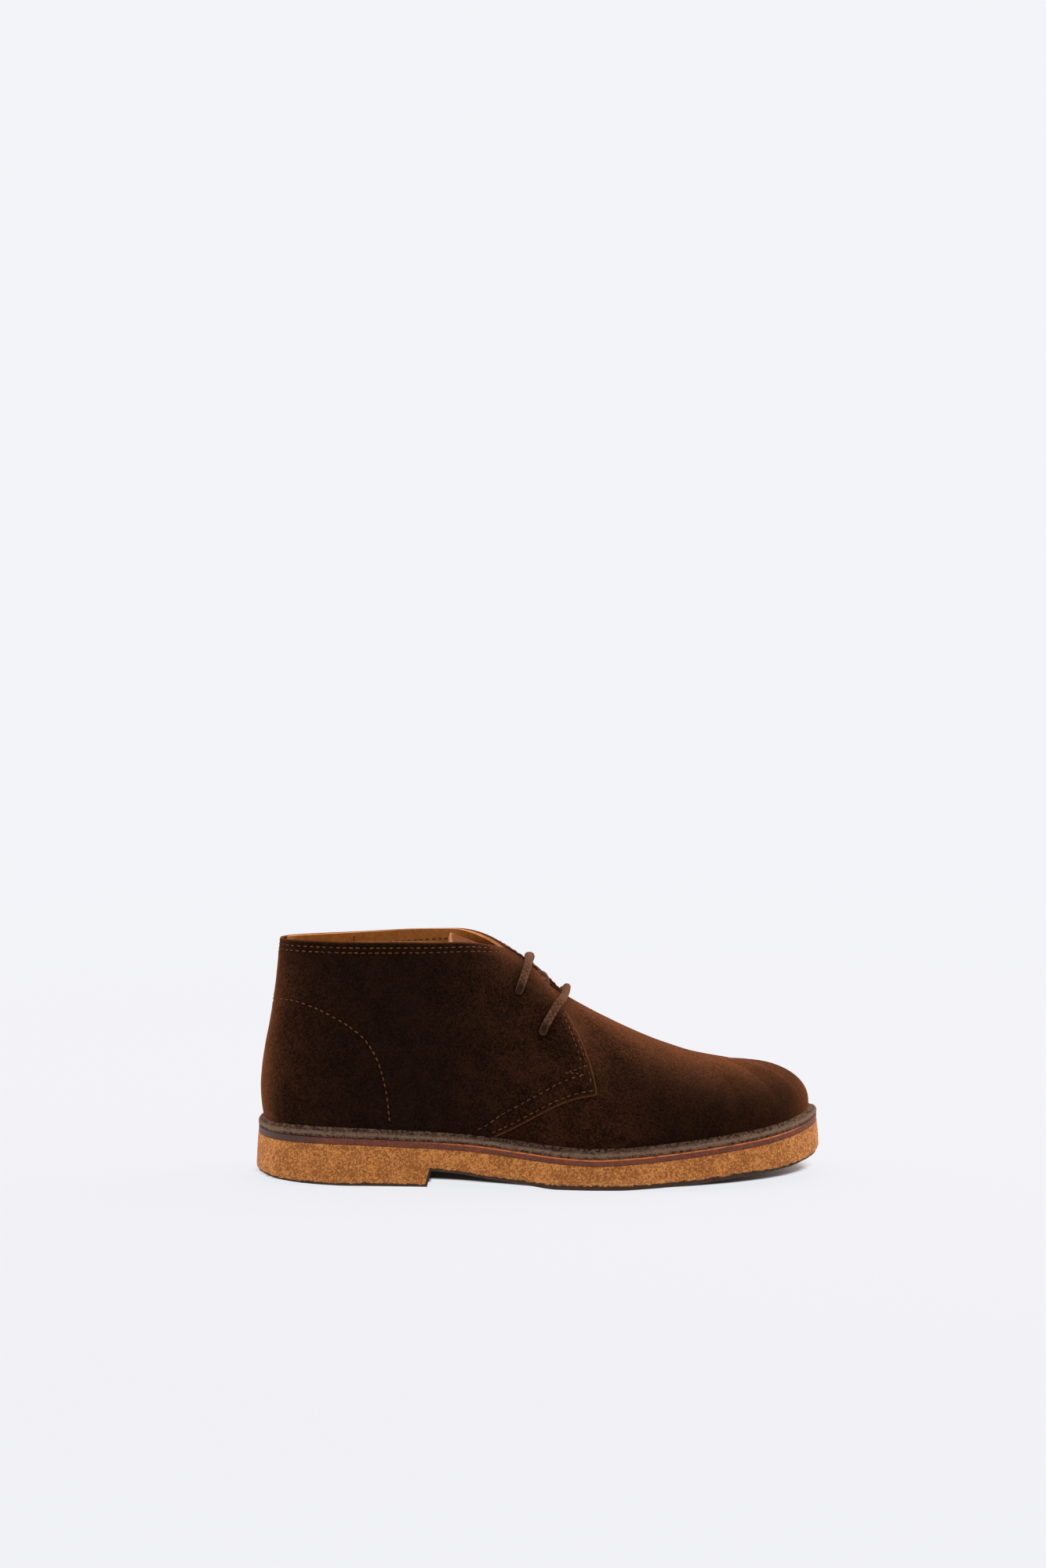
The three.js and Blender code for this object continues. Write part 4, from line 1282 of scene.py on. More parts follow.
@dataclass
class Stitching:
    """Rows of thread, each stitch a small bowed capsule that was modelled once."""

    upper: Upper
    radius: float = 0.36
    inside_end: float = 7.3
    inside_stitch: tuple[float, float] = (3.3, 2.3)
    seam_station: float = 3.64
    seam_stitch: tuple[float, float] = (1.6, 1.5)
    edge_inset: float = 2.15
    edge_stitch: tuple[float, float] = (4.1, 2.7)

    def __post_init__(self) -> None:
        """Model one stitch and keep its mesh."""
        bpy.ops.object.select_all(action="DESELECT")
        bpy.ops.mesh.primitive_uv_sphere_add(segments=6, ring_count=5, radius=1.0)
        start = bpy.context.active_object
        bpy.ops.object.mode_set(mode="EDIT")
        bpy.ops.transform.rotate(value=math.pi / 2, orient_axis="Y", center_override=(0, 0, 0))
        bpy.ops.object.mode_set(mode="OBJECT")
        points = read_points(start)
        points[:, 0] = np.sign(points[:, 0]) * np.abs(points[:, 0]) ** 0.8
        self.template = points
        self.faces = [tuple(polygon.vertices) for polygon in start.data.polygons]
        bpy.data.objects.remove(start)

    def sew(self, name: str, runs: Sequence[tuple[Array, Array, float, float]],
            material: bpy.types.Material, scale: float = 1.0) -> None:
        """Join the stitches of several paths in one mesh.

        Args:
            name: Name of the piece.
            runs: Places and outward directions of each path, with its pitch and stitch length.
            material: Finish of the thread.
            scale: Thickness against the usual thread.
        """
        points, faces = [], []
        for path, normals, pitch, length in runs:
            steps = np.linalg.norm(np.diff(path, axis=0), axis=1)
            travelled = np.concatenate([[0], np.cumsum(steps)])
            count = int(travelled[-1] / pitch)
            for k in range(count):
                wander = 0.12 * math.sin(12.9 * k + 3.1 * pitch + len(points))
                middle = (k + 0.5 + wander * 0.5) * travelled[-1] / count

                def at(distance: float, values: Array) -> Array:
                    """Value of the path at a distance from its start."""
                    return np.array([np.interp(distance, travelled, values[:, i]) for i in range(3)])

                here = at(middle, path)
                tangent = unit(at(middle + length / 2, path) - at(middle - length / 2, path))
                normal = unit(at(middle, normals))
                across = np.cross(normal, tangent)
                turn = 0.1 * math.sin(7.7 * k + pitch)
                tangent = unit(tangent + turn * across)
                across = np.cross(normal, tangent)
                thick = self.radius * scale
                shape = self.template * [length / 2, thick * 1.1, thick]
                shape[:, 2] += thick * (0.55 - 1.15 * (self.template[:, 0]) ** 2)
                first = len(points) * len(self.template)
                points.append(here + shape[:, :1] * tangent + shape[:, 1:2] * across
                              + shape[:, 2:] * normal)
                faces += [tuple(first + index for index in face) for face in self.faces]
        mesh = bpy.data.meshes.new(name)
        mesh.from_pydata(np.zeros((len(points) * len(self.template), 3)).tolist(), [], faces)
        piece = bpy.data.objects.new(name, mesh)
        bpy.context.scene.collection.objects.link(piece)
        place_points(piece, np.concatenate(points))
        finish_piece(piece, [material], [], angle=80)

    def build(self) -> None:
        """Sew the upper, the turned-out edge and the inside of the collar."""
        last, upper = self.upper.last, self.upper
        rows = upper.pattern.rows()
        sides = {Side.OUTER: [], Side.INNER: []}
        for row in rows:
            for side in Side:
                station = row.station if side is Side.OUTER else last.loop - row.station
                height = row.offset - upper.trough + 0.05 + upper.crease(station, row.rise)
                path = last.skin(station, row.rise, height)
                sides[side].append((path, last.normal(station, row.rise), row.pitch, row.length))
        for side, runs in sides.items():
            self.sew(f"stitches_{side.value}", runs, upper.palette.thread)
        inside = []
        collar = rows[1]
        kept = collar.station < self.inside_end
        near, rise = collar.station[kept], collar.rise[kept]
        climb = np.linspace(0.6, 0.985, 40)
        seam = np.full(len(climb), last.loop - self.seam_station)
        for station, rises, stitch in ((near, rise, self.inside_stitch),
                                       (last.loop - near, rise, self.inside_stitch),
                                       (seam, climb, self.seam_stitch)):
            path = last.skin(station, rises, -last.lining_wall)
            inside.append((path, -last.normal(station, rises), *stitch))
        self.sew("stitches_lining", inside, upper.palette.pale_thread)
        station = np.linspace(0, last.loop, 900)
        flat = last.outline(station, -self.edge_inset)
        height = last.seat(flat[:, 0]) + last.flange_top
        path = np.concatenate([flat, height[:, None]], axis=1)
        upright = np.tile([0.0, 0.0, 1.0], (len(path), 1))
        self.sew("stitches_edge", [(path, upright, *self.edge_stitch)],
                 upper.palette.pale_thread, scale=1.1)


@dataclass
class Tongue:
    """Suede tongue, pressed down where the lace runs over it."""

    last: Last
    palette: Palette
    thickness: float = 1.8
    clearance: float = 0.3
    end: float = 9 + 2 / 3
    press_depth: float = 3.9
    press_reach: float = 5.5
    faces: tuple[int, int] = (110, 64)
    # Columns: station, side edge's rise, centre line along and its rise, fullness of the rib.
    chart: ClassVar[Chart] = [
        (6.0, 0.84, 0.345, 1.03, 0.88), (6.5, 0.79, 0.372, 0.98, 0.78), (7.0, 0.73, 0.400, 0.93, 0.66),
        (7.5, 0.67, 0.433, 0.87, 0.50), (8.0, 0.64, 0.465, 0.81, 0.42),
    ]

    def column(self, index: int, near: Array) -> Array:
        """One column of the chart at each station."""
        chart = np.array(self.chart)
        return Line(list(zip(chart[:, 0], chart[:, index])))(near)

    def surface(self, station: Array, rise: Array) -> Array:
        """Top of the space that the tongue fills: its own ribs behind the ridge, the last ahead.

        Args:
            station: Stations of the points.
            rise: Rises of the points.

        Returns:
            Places in millimetres.
        """
        near = np.minimum(station, self.last.loop - station)
        edge, along, level, full = (self.column(index, near) for index in (1, 2, 3, 4))
        x = self.last.length * along
        height = self.last.collar_height - self.last.toe_height
        top = np.stack([x, self.last.ridge_y(x), self.last.toe_height + level * height], axis=-1)
        foot = self.last.point(station, edge)
        wall = self.last.point(station, edge + 0.02) - foot
        corner = foot + wall * ((top[:, 2] - foot[:, 2]) / wall[:, 2])[:, None]
        full = full[:, None]
        share = np.clip((rise - edge) / (1 - edge), 0, 1)[:, None]
        first, second = foot + (corner - foot) * full, top + (corner - top) * full
        rib = ((1 - share) ** 3 * foot + 3 * (1 - share) ** 2 * share * first
               + 3 * (1 - share) * share ** 2 * second + share ** 3 * top)
        blend = smooth_step(self.last.ridge - 0.35, self.last.ridge + 0.05, near)[:, None]
        return rib * (1 - blend) + self.last.point(station, rise) * blend

    def build(self, presses: Array) -> None:
        """Build the tongue.

        Args:
            presses: Places of the lace that presses the tongue down.
        """
        piece, along, across = add_grid("suede_tongue", *self.faces)
        near = self.chart[0][0] + along * (self.end - self.chart[0][0])
        rise = 1 - np.abs(2 * across - 1) * (1 - self.column(1, near))
        station = np.where(across < 0.5, near, self.last.loop - near)
        surface = self.surface(station, rise)
        small = 0.03
        ahead = self.surface(np.where(across < 0.5, near + small, self.last.loop - near - small), rise)
        order = np.lexsort((across, along))
        shape = (self.faces[0] + 1, self.faces[1] + 1, 3)
        grid = surface[order].reshape(shape)
        ahead_grid = ahead[order].reshape(shape)
        up = np.gradient(grid, axis=1)
        normals = unit(np.cross(ahead_grid - grid, up))
        places = np.empty_like(surface)
        drop = self.last.lining_wall + self.clearance
        places[order] = (grid - normals * drop).reshape(-1, 3)
        directions = np.empty_like(surface)
        directions[order] = normals.reshape(-1, 3)
        pressed_and_shade = bell(distance_to(places, presses), self.press_reach)
        sag = self.press_depth * np.clip(pressed_and_shade * 1.5, 0, 1) + 0.5 * grain(places, 14.0, 5.0) * (near < 8)
        places = places - directions * sag[:, None]
        place_points(piece, places)
        rim = np.minimum(np.minimum(along * 60, across * 50), (1 - across) * 50)
        write_mask(piece, "edge", bell(rim - 0.2, 0.7))
        # Darker under the lace: painted shade where the lace presses the tongue down.
        write_mask(piece, "pressed_and_shade", pressed_and_shade * 0.4)
        thicken(piece, self.thickness)
        finish_piece(piece, [self.palette.tongue, self.palette.pale_cut], ["tongue"])


@dataclass
class Lace:
    """Round cord through two pairs of holes: two bars outside and two strands that cross inside."""

    last: Last
    palette: Palette
    diameter: float = 4.3
    bend: float = 2.6
    holes: tuple[Place, ...] = LACE_HOLES
    bar_gap: float = 0.15
    hole_step: float = 0.1
    turns: int = 4
    twist: float = 2.4
    sides: int = 20
    strand_lift: float = 0.8
    under: float = 3.7

    @property
    def lift(self) -> float:
        """Height of a bar's middle over the shell."""
        return self.last.quarter_step + self.bar_gap + self.diameter / 2

    def at(self, station: float, rise: float, offset: float, side: Side) -> Array:
        """One point over or under the shell.

        Args:
            station: Station on the outer side.
            rise: Rise of the point.
            offset: Height over the shell.
            side: Side of the foot.

        Returns:
            Its place in millimetres.
        """
        place = station if side is Side.OUTER else self.last.loop - station
        return self.last.skin(np.array([place]), np.array([rise]), np.array([offset]))[0]

    def half_bar(self, hole: Place, side: Side) -> list[Array]:
        """Path out of a hole and up to the ridge.

        Args:
            hole: Row of the hole.
            side: Side of the foot.

        Returns:
            Points in millimetres.
        """
        station, rise, crossing = hole
        start = self.at(station, rise, 0, side)
        axis = self.at(station, rise, 1, side) - start
        step = self.hole_step
        ahead = self.at(station + step * (crossing - station), rise + step * (1 - rise), 0, side) - start
        run = unit(ahead - axis * (ahead @ axis))
        path = [start - axis * self.under, start - axis * 1.2]
        for share in (0.0, 0.33, 0.66, 1.0):
            angle = share * math.pi / 2
            path.append(start + run * self.bend * (1 - math.cos(angle))
                        + axis * (self.lift - self.bend * (1 - math.sin(angle))))
        for share in (0.3, 0.44, 0.58, 0.72, 0.86):
            path.append(self.at(station + share * (crossing - station), rise + share * (1 - rise),
                                self.lift, side))
        return path

    def bar(self, hole: Place) -> Array:
        """Path of one bar from hole to hole."""
        middle = self.at(hole[2], 1.0, self.lift, Side.OUTER)
        return np.array(self.half_bar(hole, Side.OUTER) + [middle]
                        + self.half_bar(hole, Side.INNER)[::-1])

    def strand(self, first: Side, height: float) -> Array:
        """Path under the facings from a lower hole to the upper hole of the other side.

        Args:
            first: Side of the lower hole.
            height: Height of the strand's middle over the shell, in the gap.

        Returns:
            Points in millimetres.
        """
        other = Side.INNER if first is Side.OUTER else Side.OUTER
        (low_station, low_rise, low_cross), (top_station, top_rise, top_cross) = self.holes
        middle = (low_cross + top_cross) / 2
        path = [self.at(low_station, low_rise, -self.under + 1.5, first),
                self.at(low_station, low_rise, -self.under, first)]
        for share in (0.35, 0.6, 0.8):
            path.append(self.at(low_station + share * (middle - low_station) + 0.1,
                                low_rise + share * (1 - low_rise), -self.under, first))
        path.append(self.at(middle, 1.0, height, first))
        for share in (0.8, 0.6, 0.35):
            path.append(self.at(top_station + share * (middle - top_station) - 0.1,
                                top_rise + share * (1 - top_rise), -self.under, other))
        path.append(self.at(top_station, top_rise, -self.under, other))
        path.append(self.at(top_station, top_rise, -self.under + 1.5, other))
        return np.array(path)

    def smooth(self, path: Array, step: float = 0.55) -> Array:
        """Even points on a rounded curve through a path.

        Args:
            path: Points that the curve passes.
            step: Distance between the new points.

        Returns:
            The new points.
        """
        steps = np.linalg.norm(np.diff(path, axis=0), axis=1) ** 0.5
        knots = np.concatenate([[0], np.cumsum(steps)])
        slopes = np.gradient(path, knots, axis=0)
        fine = np.linspace(0, knots[-1], 600)
        i = np.clip(np.searchsorted(knots, fine, side="right") - 1, 0, len(knots) - 2)
        width = (knots[i + 1] - knots[i])[:, None]
        dense = hermite(path[i], path[i + 1], slopes[i] * width, slopes[i + 1] * width,
                        (fine - knots[i])[:, None] / width)
        travelled = np.concatenate([[0], np.cumsum(np.linalg.norm(np.diff(dense, axis=0), axis=1))])
        even = np.linspace(0, travelled[-1], int(travelled[-1] / step) + 1)
        return np.stack([np.interp(even, travelled, dense[:, i]) for i in range(3)], axis=1)

    def tube(self, name: str, path: Array) -> None:
        """Round cord along a path, with a map that follows it.

        Args:
            name: Name of the piece.
            path: Points that it passes.
        """
        line = self.smooth(path)
        step = np.linalg.norm(line[1] - line[0])
        piece, along, round_it = add_grid(name, len(line) - 1, self.sides)
        tangents = unit(np.gradient(line, axis=0))
        side = unit(np.cross(tangents[0], [0.3, 0.2, 1.0]))
        frames = []
        for tangent in tangents:
            side = unit(side - tangent * (side @ tangent))
            frames.append((side, np.cross(tangent, side)))
        i = np.round(along * (len(line) - 1)).astype(int)
        first = np.array([pair[0] for pair in frames])[i]
        second = np.array([pair[1] for pair in frames])[i]
        angle = round_it * 2 * math.pi
        ends = np.minimum(i, len(line) - 1 - i)
        taper = np.array([0.0, 0.6, 0.9, 1.0])[np.minimum(ends, 3)]
        travelled = i * step / self.diameter
        braid = np.maximum(np.sin(self.turns * (angle + travelled * self.twist)),
                           np.sin(self.turns * (travelled * self.twist - angle)))
        radius = (self.diameter / 2 - 0.1 + 0.1 * braid) * taper
        spoke = first * np.cos(angle)[:, None] + second * np.sin(angle)[:, None]
        place_points(piece, line[i] + spoke * radius[:, None])
        # Painted shade near the cord's ends, where it runs into the holes.
        write_mask(piece, "painted_hole_shade", smooth_step(12.0, 7.5, ends * step))
        uv = piece.data.uv_layers.active.data
        corners = np.empty(len(uv) * 2)
        uv.foreach_get("uv", corners)
        corners = corners.reshape(-1, 2)
        corners[:, 0] *= travelled.max() * self.twist / (2 * math.pi)
        uv.foreach_set("uv", corners.ravel())
        weld(piece, 0.01)
        turn_faces_out(piece)
        finish_piece(piece, [self.palette.cord], ["lace"], angle=80)

    def strands(self) -> list[Array]:
        """Both strands inside, the second one under the first."""
        return [self.strand(Side.OUTER, self.strand_lift), self.strand(Side.INNER, -self.under + 0.1)]

    def build(self) -> None:
        """Build the bars and strands."""
        for name, hole in zip(("lace_bar_lower", "lace_bar_upper"), self.holes):
            self.tube(name, self.bar(hole))
        for name, path in zip(("lace_strand_over", "lace_strand_under"), self.strands()):
            self.tube(name, path)


@dataclass
class Bottom:
    """Insole, leather midsole and stepped crepe sole."""

    last: Last
    palette: Palette
    sole_proud: float = 1.4
    edge_radius: float = 2.4
    breast_height: float = 8.8
    breast_at: float = 90.0
    breast_depth: float = 2.0
    toe_lift: float = 13.5
    midsole: float = 3.3
    clearance: float = 0.3
    tuck: float = 2.4
    tuck_lift: float = 1.5
    tucked_from: tuple[float, float] = (115.0, 150.0)
    tucked_to: tuple[float, float] = (285.0, 250.0)
    grey_from: tuple[float, float] = (46.0, 14.0)
    # Reach along the shoe of the midsole's painted highlight.
    bright_from: tuple[float, float] = (70.0, 130.0)
    bright_to: tuple[float, float] = (292.0, 276.0)
    # Midsole's edge: growth of the outline and drop below the seat.
    edge_profile: ClassVar[Chart] = [
        (-0.12, 0.0), (0.05, -0.12), (0.12, -0.45), (0.1, -0.9), (0.06, -1.6), (0.08, -2.3),
        (0.12, -2.85), (0.05, -3.15), (-0.1, -3.3),
    ]
    heel_line: Line = field(default_factory=lambda: Line([
        (0, 0.29), (0.06, 0.13), (0.12, 0.04), (0.17, 0), (1, 0)]))
    arch_line: Line = field(default_factory=lambda: Line([
        (0.3, 1), (0.36, 0.84), (0.42, 0.52), (0.48, 0.22), (0.535, 0), (1, 0)]))
    toe_line: Line = field(default_factory=lambda: Line([
        (0, 0), (0.64, 0), (0.7, 0.07), (0.77, 0.19), (0.86, 0.39), (0.92, 0.545), (0.96, 0.69),
        (0.985, 0.84), (1, 1)]))

    def underside(self, x: Array) -> Array:
        """Height of the crepe's underside, which steps up at the breast."""
        share = x / self.last.length
        heel = self.toe_lift * self.heel_line(share)
        front = self.breast_height * self.arch_line(share) + self.toe_lift * self.toe_line(share)
        step = np.clip((x - self.breast_at) / self.breast_depth, 0, 1)
        return heel * (1 - step) + front * step

    def columns(self, share: Array) -> Array:
        """Shares of the length, close together at both ends and at the breast."""
        even = (1 - np.cos(math.pi * share)) / 2
        mid = 0.35 * even + 0.65 * share
        breast = (self.breast_at + self.breast_depth / 2) / self.last.length
        return mid - 0.012 * np.tanh((mid - breast) / 0.03) * bell(mid - breast, 0.06)

    def station_at(self, x: Array, grow: Array, side: Side) -> Array:
        """Station at which one side of the grown outline reaches x.

        Args:
            x: Places along the shoe.
            grow: How far the outline is grown.
            side: Side of the foot.

        Returns:
            One station for each place.
        """
        low, high = np.zeros(len(x)), np.full(len(x), float(self.last.toe))
        for _ in range(34):
            middle = (low + high) / 2
            station = middle if side is Side.OUTER else self.last.loop - middle
            short = self.last.outline(station, grow)[:, 0] < x
            low, high = np.where(short, middle, low), np.where(short, high, middle)
        found = (low + high) / 2
        return found if side is Side.OUTER else self.last.loop - found

    def spread(self, along: Array, across: Array, grow: float) -> Array:
        """Flat places of a plate, with the place along the shoe that each stands for.

        Args:
            along: Shares of the length.
            across: Shares from the outer to the inner side.
            grow: How far the outline is grown.

        Returns:
            Two flat places and the nominal x.
        """
        share = self.columns(along)
        x = (self.last.length + 2 * grow) * share - grow
        unique, index = np.unique(np.round(along, 6), return_inverse=True)
        rows = self.columns(unique)
        xs = (self.last.length + 2 * grow) * rows - grow
        edges = []
        for side in Side:
            station = self.station_at(xs, np.full(len(xs), grow), side)
            edge = self.last.outline(station, grow)
            tip = self.last.outline(np.array([0.0, float(self.last.toe)]), grow)
            edge[unique <= 1e-6] = tip[0]
            edge[unique >= 1 - 1e-6] = tip[1]
            edges.append(edge[index])
        flat = edges[0] + (edges[1] - edges[0]) * across[:, None]
        return np.concatenate([flat, x[:, None]], axis=1)

    def plate(self, name: str, columns: int, rows: int,
              rings: Sequence[Ring]) -> tuple[bpy.types.Object, Array]:
        """Closed plate: a grid laid inside the outline, then extruded from ring to ring.

        Args:
            name: Name of the piece.
            columns: Faces along the shoe.
            rows: Faces across it.
            rings: Growth of the outline and height over x and nominal x, from the top down.

        Returns:
            The object, and for each vertex the number of its ring.
        """
        piece, along, across = add_grid(name, columns, rows)
        write_mask(piece, "cell", np.arange(len(along)), whole=True)
        write_mask(piece, "layer", np.zeros(len(along)), whole=True)

        def lay(ring: Ring, which: Array) -> Array:
            """Places of the given cells on one ring."""
            grow, height = ring
            flat = self.spread(along, across, grow)[which]
            nominal = (flat[:, 2] + grow) / (self.last.length + 2 * grow) * self.last.length
            return np.concatenate([flat[:, :2], height(flat[:, 0], nominal)[:, None]], axis=1)

        place_points(piece, lay(rings[0], np.arange(len(along))))
        select_only(piece)
        for number, ring in enumerate(rings[1:], 1):
            bpy.ops.object.mode_set(mode="EDIT")
            if number == 1:
                bpy.ops.mesh.select_all(action="SELECT")
            bpy.ops.mesh.extrude_region_move(TRANSFORM_OT_translate={"value": (0, 0, -0.2 * MM)})
            bpy.ops.object.mode_set(mode="OBJECT")
            chosen = np.empty(len(piece.data.vertices), bool)
            piece.data.vertices.foreach_get("select", chosen)
            layers = read_mask(piece, "layer", whole=True)
            layers[chosen] = number
            write_mask(piece, "layer", layers, whole=True)
            points = on_last(piece)
            points[chosen] = lay(ring, read_mask(piece, "cell", whole=True)[chosen])
            place_points(piece, points)
        weld(piece, 0.005)
        turn_faces_out(piece)
        return piece, read_mask(piece, "layer", whole=True)

    def build_insole(self) -> None:
        """Footbed with a soft hollow at the heel."""
        grow = -(self.last.flange_width + self.last.lining_wall + self.clearance)
        piece, _ = self.plate("footbed", 120, 24, [
            (grow, lambda own, x: self.last.seat(own) + self.clearance + 2.6),
            (grow + 0.1, lambda own, x: self.last.seat(own) + self.clearance + 2.0),
            (grow, lambda own, x: self.last.seat(own) + self.clearance),
        ])
        finish_piece(piece, [self.palette.insole], ["insole"])

    def build_midsole(self) -> None:
        """Leather midsole with a slightly rounded, trimmed edge."""
        rings = []
        for grow, drop in self.edge_profile:
            rings.append((grow, lambda own, x, drop=drop: self.last.seat(own) + drop))
        piece, layers = self.plate("leather_midsole", 260, 10, rings)
        x = on_last(piece)[:, 0]
        drops = np.array(self.edge_profile)[:, 1]
        write_mask(piece, "high", 1 + drops[layers] / self.midsole)
        write_mask(piece, "grey", smooth_step(*self.grey_from, x))
        # Top of the edge lighter over the middle of the shoe: painted highlight.
        write_mask(piece, "bright", smooth_step(*self.bright_from, x) * smooth_step(*self.bright_to, x))
        finish_piece(piece, [self.palette.midsole], ["midsole"], angle=50)

    def build_outsole(self) -> None:
        """Crepe sole with a torn lower edge and crinkled sides."""
        top = self.midsole + self.clearance
        steps = 11

        def wall(share: float) -> Callable[[Array, Array], Array]:
            """Height at a share of the way down the side."""
            def height(own: Array, x: Array) -> Array:
                """Height of the ring over each point."""
                low = self.underside(x) + self.edge_radius
                return (self.last.seat(own) - top) * (1 - share) + low * share
            return height

        rings = [(-0.1, lambda own, x: self.last.seat(own) - top + 0.15)]
        for k in range(steps + 1):
            share = k / steps
            rings.append((0.2 + (self.sole_proud - 0.2) * share ** 0.8, wall(share)))
        for angle in (0.35, 0.75, 1.15, math.pi / 2):
            inset = self.edge_radius * (1 - math.cos(angle)) * 0.9
            lift = self.edge_radius * (1 - math.sin(angle))
            rings.append((self.sole_proud - inset, lambda own, x, lift=lift: self.underside(x) + lift))
        piece, layers = self.plate("crepe_sole", 330, 16, rings)
        points = on_last(piece)
        last_ring = len(rings) - 1
        side = (layers > 0) & (layers < last_ring)
        down = np.clip((layers - 1) / (steps + 2), 0, 1)
        middle = np.array([np.clip(points[:, 0], 40, 250), np.zeros(len(points))]).T
        out = unit(points[:, :2] - middle)
        rough = 0.22 * grain(points, 2.6, 2.2, 2) + 0.3 * grain(points, 7.0, 8.4)
        torn = 0.85 * np.minimum(grain(points * [1, 1, 0.5], 4.2, 5.5, 3), 0.15)
        torn *= smooth_step(0.55, 1.0, down)
        points[:, :2] += out * ((rough * (0.4 + 0.6 * down) + torn) * side)[:, None]
        ragged = 0.7 * np.abs(grain(points * [1, 1, 0.3], 3.4, 9.2, 3)) * side
        ragged *= smooth_step(0.72, 1.0, down)
        x = points[:, 0]
        forefoot = smooth_step(*self.tucked_from, x) * smooth_step(*self.tucked_to, x)
        tuck = np.interp(layers, [0, steps - 2, steps + 3], [0, 0, self.tuck])
        raised = np.interp(layers, [0, steps - 5, steps + 1, last_ring - 1], [0, 0, self.tuck_lift, 0])
        points[:, :2] -= out * (tuck * forefoot)[:, None]
        points[:, 2] = np.maximum(points[:, 2] + ragged + raised * forefoot, 0.0)
        place_points(piece, points)
        # Dark lower edge and rounding of the sole: painted shade with some dirt.
        write_mask(piece, "low", np.interp(layers, [0, steps - 1, steps + 3, last_ring], [0, 0, 1, 1]))
        finish_piece(piece, [self.palette.crepe], ["outsole"], angle=60)

    def build(self) -> None:
        """Build the three layers from the foot down."""
        self.build_insole()
        self.build_midsole()
        self.build_outsole()


@dataclass(frozen=True)
class SoftBox:
    """One rectangular light that faces a point; places and sizes are metres."""

    name: str
    place: Place
    aim: Place
    size: tuple[float, float]
    energy: float

    def build(self) -> None:
        """Add the light to the scene."""
        data = bpy.data.lights.new(self.name, "AREA")
        data.shape = "RECTANGLE"
        data.size, data.size_y = self.size
        data.energy = self.energy
        light = bpy.data.objects.new(self.name, data)
        light.location = self.place
        turn = (Vector(self.aim) - Vector(self.place)).to_track_quat("-Z", "Y")
        light.rotation_euler = turn.to_euler()
        bpy.context.scene.collection.objects.link(light)


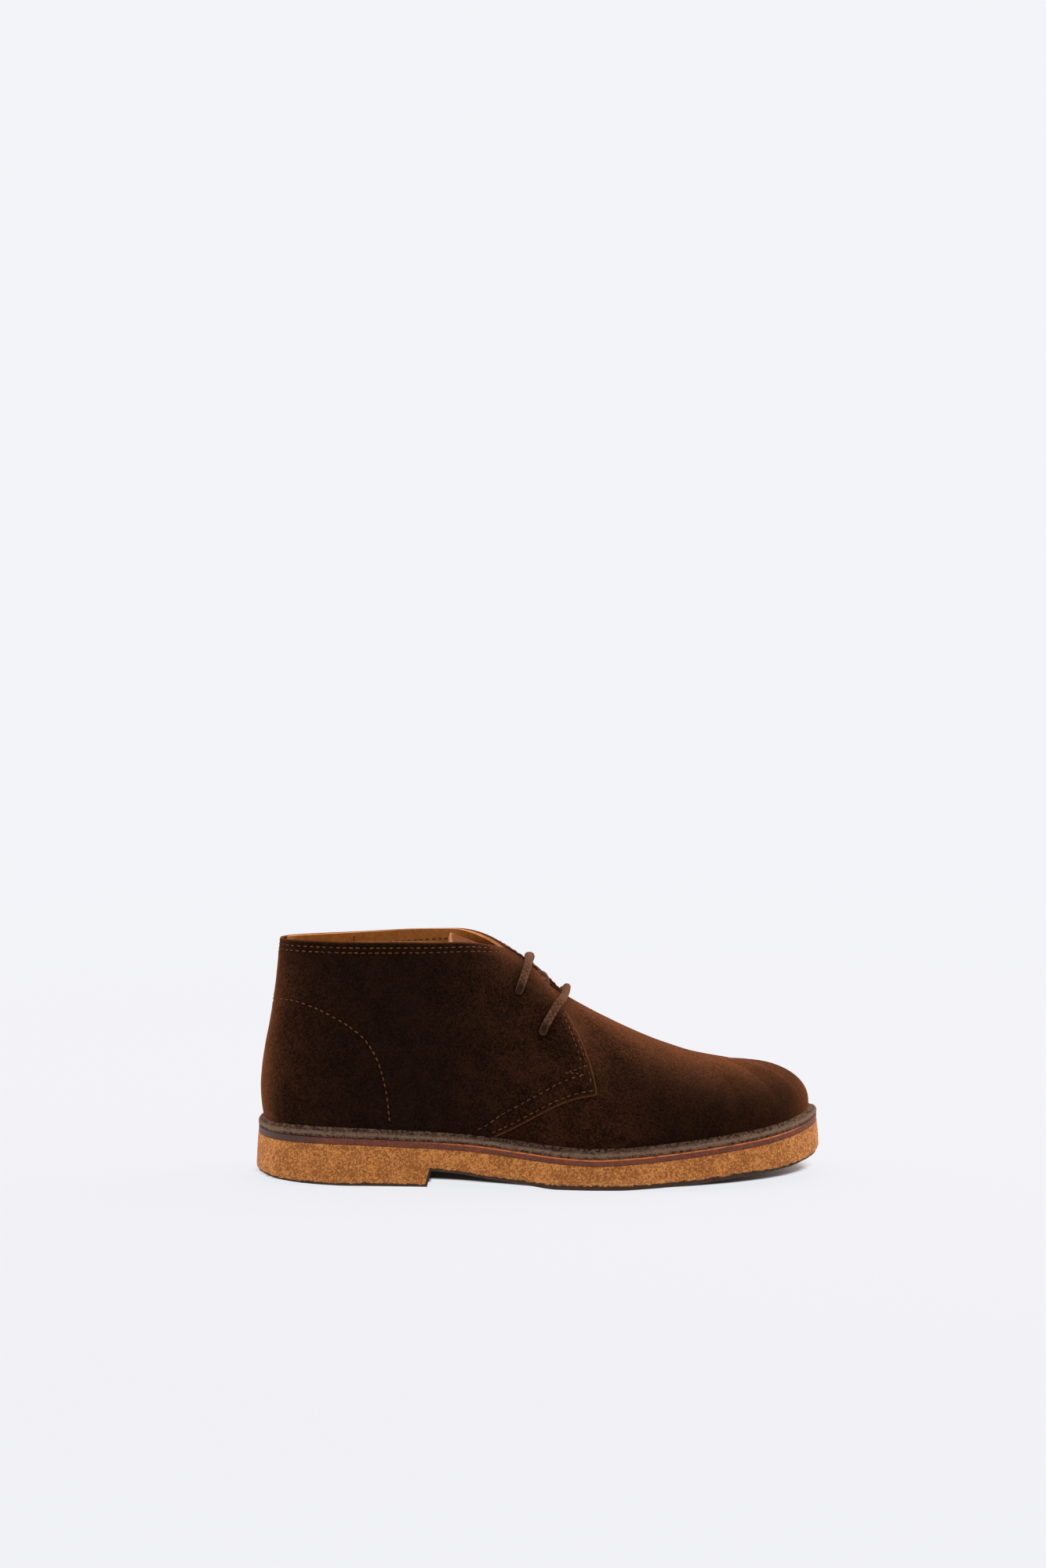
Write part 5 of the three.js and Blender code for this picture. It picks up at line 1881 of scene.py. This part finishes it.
@dataclass
class Studio:
    """Pale seamless floor, soft light from above and behind, and the photograph's view."""

    backdrop: Color = srgb(243, 244, 249)
    floor_size: float = 8.0
    fine: tuple[float, float] = (210.0, 90.0)
    shade_inset: float = 7.5
    shade_lean: float = 1.3
    shade_reach: float = 30.0
    open_reach: tuple[float, float] = (250.0, 1500.0)
    # Warm tint of the shaded floor stands in for bounce light from the crepe: painted reflected light.
    shaded_floor: Color = (0.62, 0.54, 0.50, 1.0)
    camera_at: Place = (-0.00793, -1.96777, 0.41260)
    camera_tilt: float = 84.08
    lens: float = 86.04
    sensor: float = 36.0
    lights: tuple[SoftBox, ...] = (
        SoftBox("top_box", (0.25, 0.35, 1.5), (0.02, 0.0, 0.05), (1.6, 1.2), 17.0),
        SoftBox("toe_rim", (1.3, 0.5, 0.75), (0.06, 0.0, 0.06), (0.7, 0.9), 10.0),
        SoftBox("heel_rim", (-1.4, 0.35, 0.6), (-0.1, 0.0, 0.06), (0.6, 0.9), 7.5),
    )

    def shade(self, bottom: Bottom, x: Array, y: Array) -> Array:
        """Share of shadow on the floor: sharp below the near edge of the sole, soft beyond it.

        Args:
            bottom: The layers that throw the shadow.
            x: Places along the shoe.
            y: Places across it.

        Returns:
            One where the floor lies in shadow, zero in the open.
        """
        last = bottom.last
        inside = np.clip(x, 1.0, last.length - 1.0)
        none = np.zeros(len(x))
        lift = bottom.underside(inside)
        near = last.outline(bottom.station_at(inside, none, Side.OUTER))[:, 1]
        far = last.outline(bottom.station_at(inside, none, Side.INNER))[:, 1]
        front = near + self.shade_inset + self.shade_lean * lift
        soft = 1.5 + 0.5 * lift
        ends = smooth_step(-6, 8, x) * smooth_step(last.length + 4, last.length - 10, x)
        beyond = smooth_step(self.shade_reach, 0, y - far)
        return smooth_step(0, 1, (y - front) / soft) * beyond * ends

    def build_floor(self, bottom: Bottom) -> None:
        """Floor that takes the shadow under the boot and melts into the backdrop around it."""
        floor, along, across = add_grid("floor", 240, 180)
        u, v = 2 * along - 1, 2 * across - 1
        half = self.floor_size / 2 / MM
        x = self.fine[0] * u + (half - self.fine[0]) * u ** 15 - HEEL_X / MM
        y = self.fine[1] * v + (half - self.fine[1]) * v ** 9
        place_points(floor, np.stack([x, y, np.zeros(len(x))], axis=-1))
        away = smooth_step(*self.open_reach, np.hypot(x - bottom.last.length / 2, y))
        write_mask(floor, "open", (1 - self.shade(bottom, x, y)) * (0.9 + 0.1 * away))
        material = bpy.data.materials.new("studio_floor")
        material.use_nodes = True
        nodes = Nodes(material.node_tree)
        diffuse = nodes.add("BsdfDiffuse", {"Color": self.shaded_floor}).outputs[0]
        glow = nodes.add("Emission", {"Color": self.backdrop, "Strength": 1.0}).outputs[0]
        mix = nodes.add("MixShader", {0: nodes.attribute("open"), 1: diffuse, 2: glow})
        nodes.add("OutputMaterial", {"Surface": mix.outputs[0]})
        floor.data.materials.append(material)

    def build_world(self) -> None:
        """Even backdrop for the camera, dimmer fill for the light."""
        world = bpy.data.worlds.new("studio")
        bpy.context.scene.world = world
        world.use_nodes = True
        nodes = Nodes(world.node_tree)
        seen = nodes.add("LightPath").outputs["Is Camera Ray"]
        sky = nodes.add("TexCoord").outputs["Generated"]
        split = nodes.add("SeparateXYZ", {0: sky})
        fill = nodes.spread(split.outputs[1], -0.7, 0.7, 0.65, 0.8)
        strength = nodes.add("Mix", {0: seen, 2: fill, 3: 1.0}, data_type="FLOAT").outputs[0]
        background = nodes.add("Background", {"Color": self.backdrop, "Strength": strength})
        nodes.add("OutputWorld", {"Surface": background.outputs[0]})

    def build_camera(self) -> None:
        """Camera at the photograph's angle and distance."""
        data = bpy.data.cameras.new("photo_view")
        data.sensor_fit = "VERTICAL"
        data.sensor_height = self.sensor
        data.lens = self.lens
        data.clip_end = 50
        camera = bpy.data.objects.new("photo_view", data)
        camera.location = self.camera_at
        camera.rotation_euler = (math.radians(self.camera_tilt), 0, 0)
        bpy.context.scene.collection.objects.link(camera)
        bpy.context.scene.camera = camera

    def build(self, bottom: Bottom) -> None:
        """Set up the stage, the light and the camera."""
        bpy.context.scene.view_settings.view_transform = "Standard"
        self.build_floor(bottom)
        self.build_world()
        for light in self.lights:
            light.build()
        self.build_camera()


def main() -> None:
    """Build the boot from the sole up and set the stage."""
    logging.basicConfig(level=logging.INFO, format="%(message)s")
    last = Last()
    palette = Palette()
    pattern = Pattern(last)
    LOG.info("facing meets the throat at station %.2f, collar front at %.2f", pattern.meet,
             pattern.collar_front)
    bottom = Bottom(last, palette)
    bottom.build()
    upper = Upper(last, pattern, palette)
    upper.build()
    lace = Lace(last, palette)
    lace.build()
    Tongue(last, palette).build(np.concatenate([lace.smooth(path) for path in lace.strands()]))
    Stitching(upper).build()
    Studio().build(bottom)


if __name__ == "__main__":
    main()
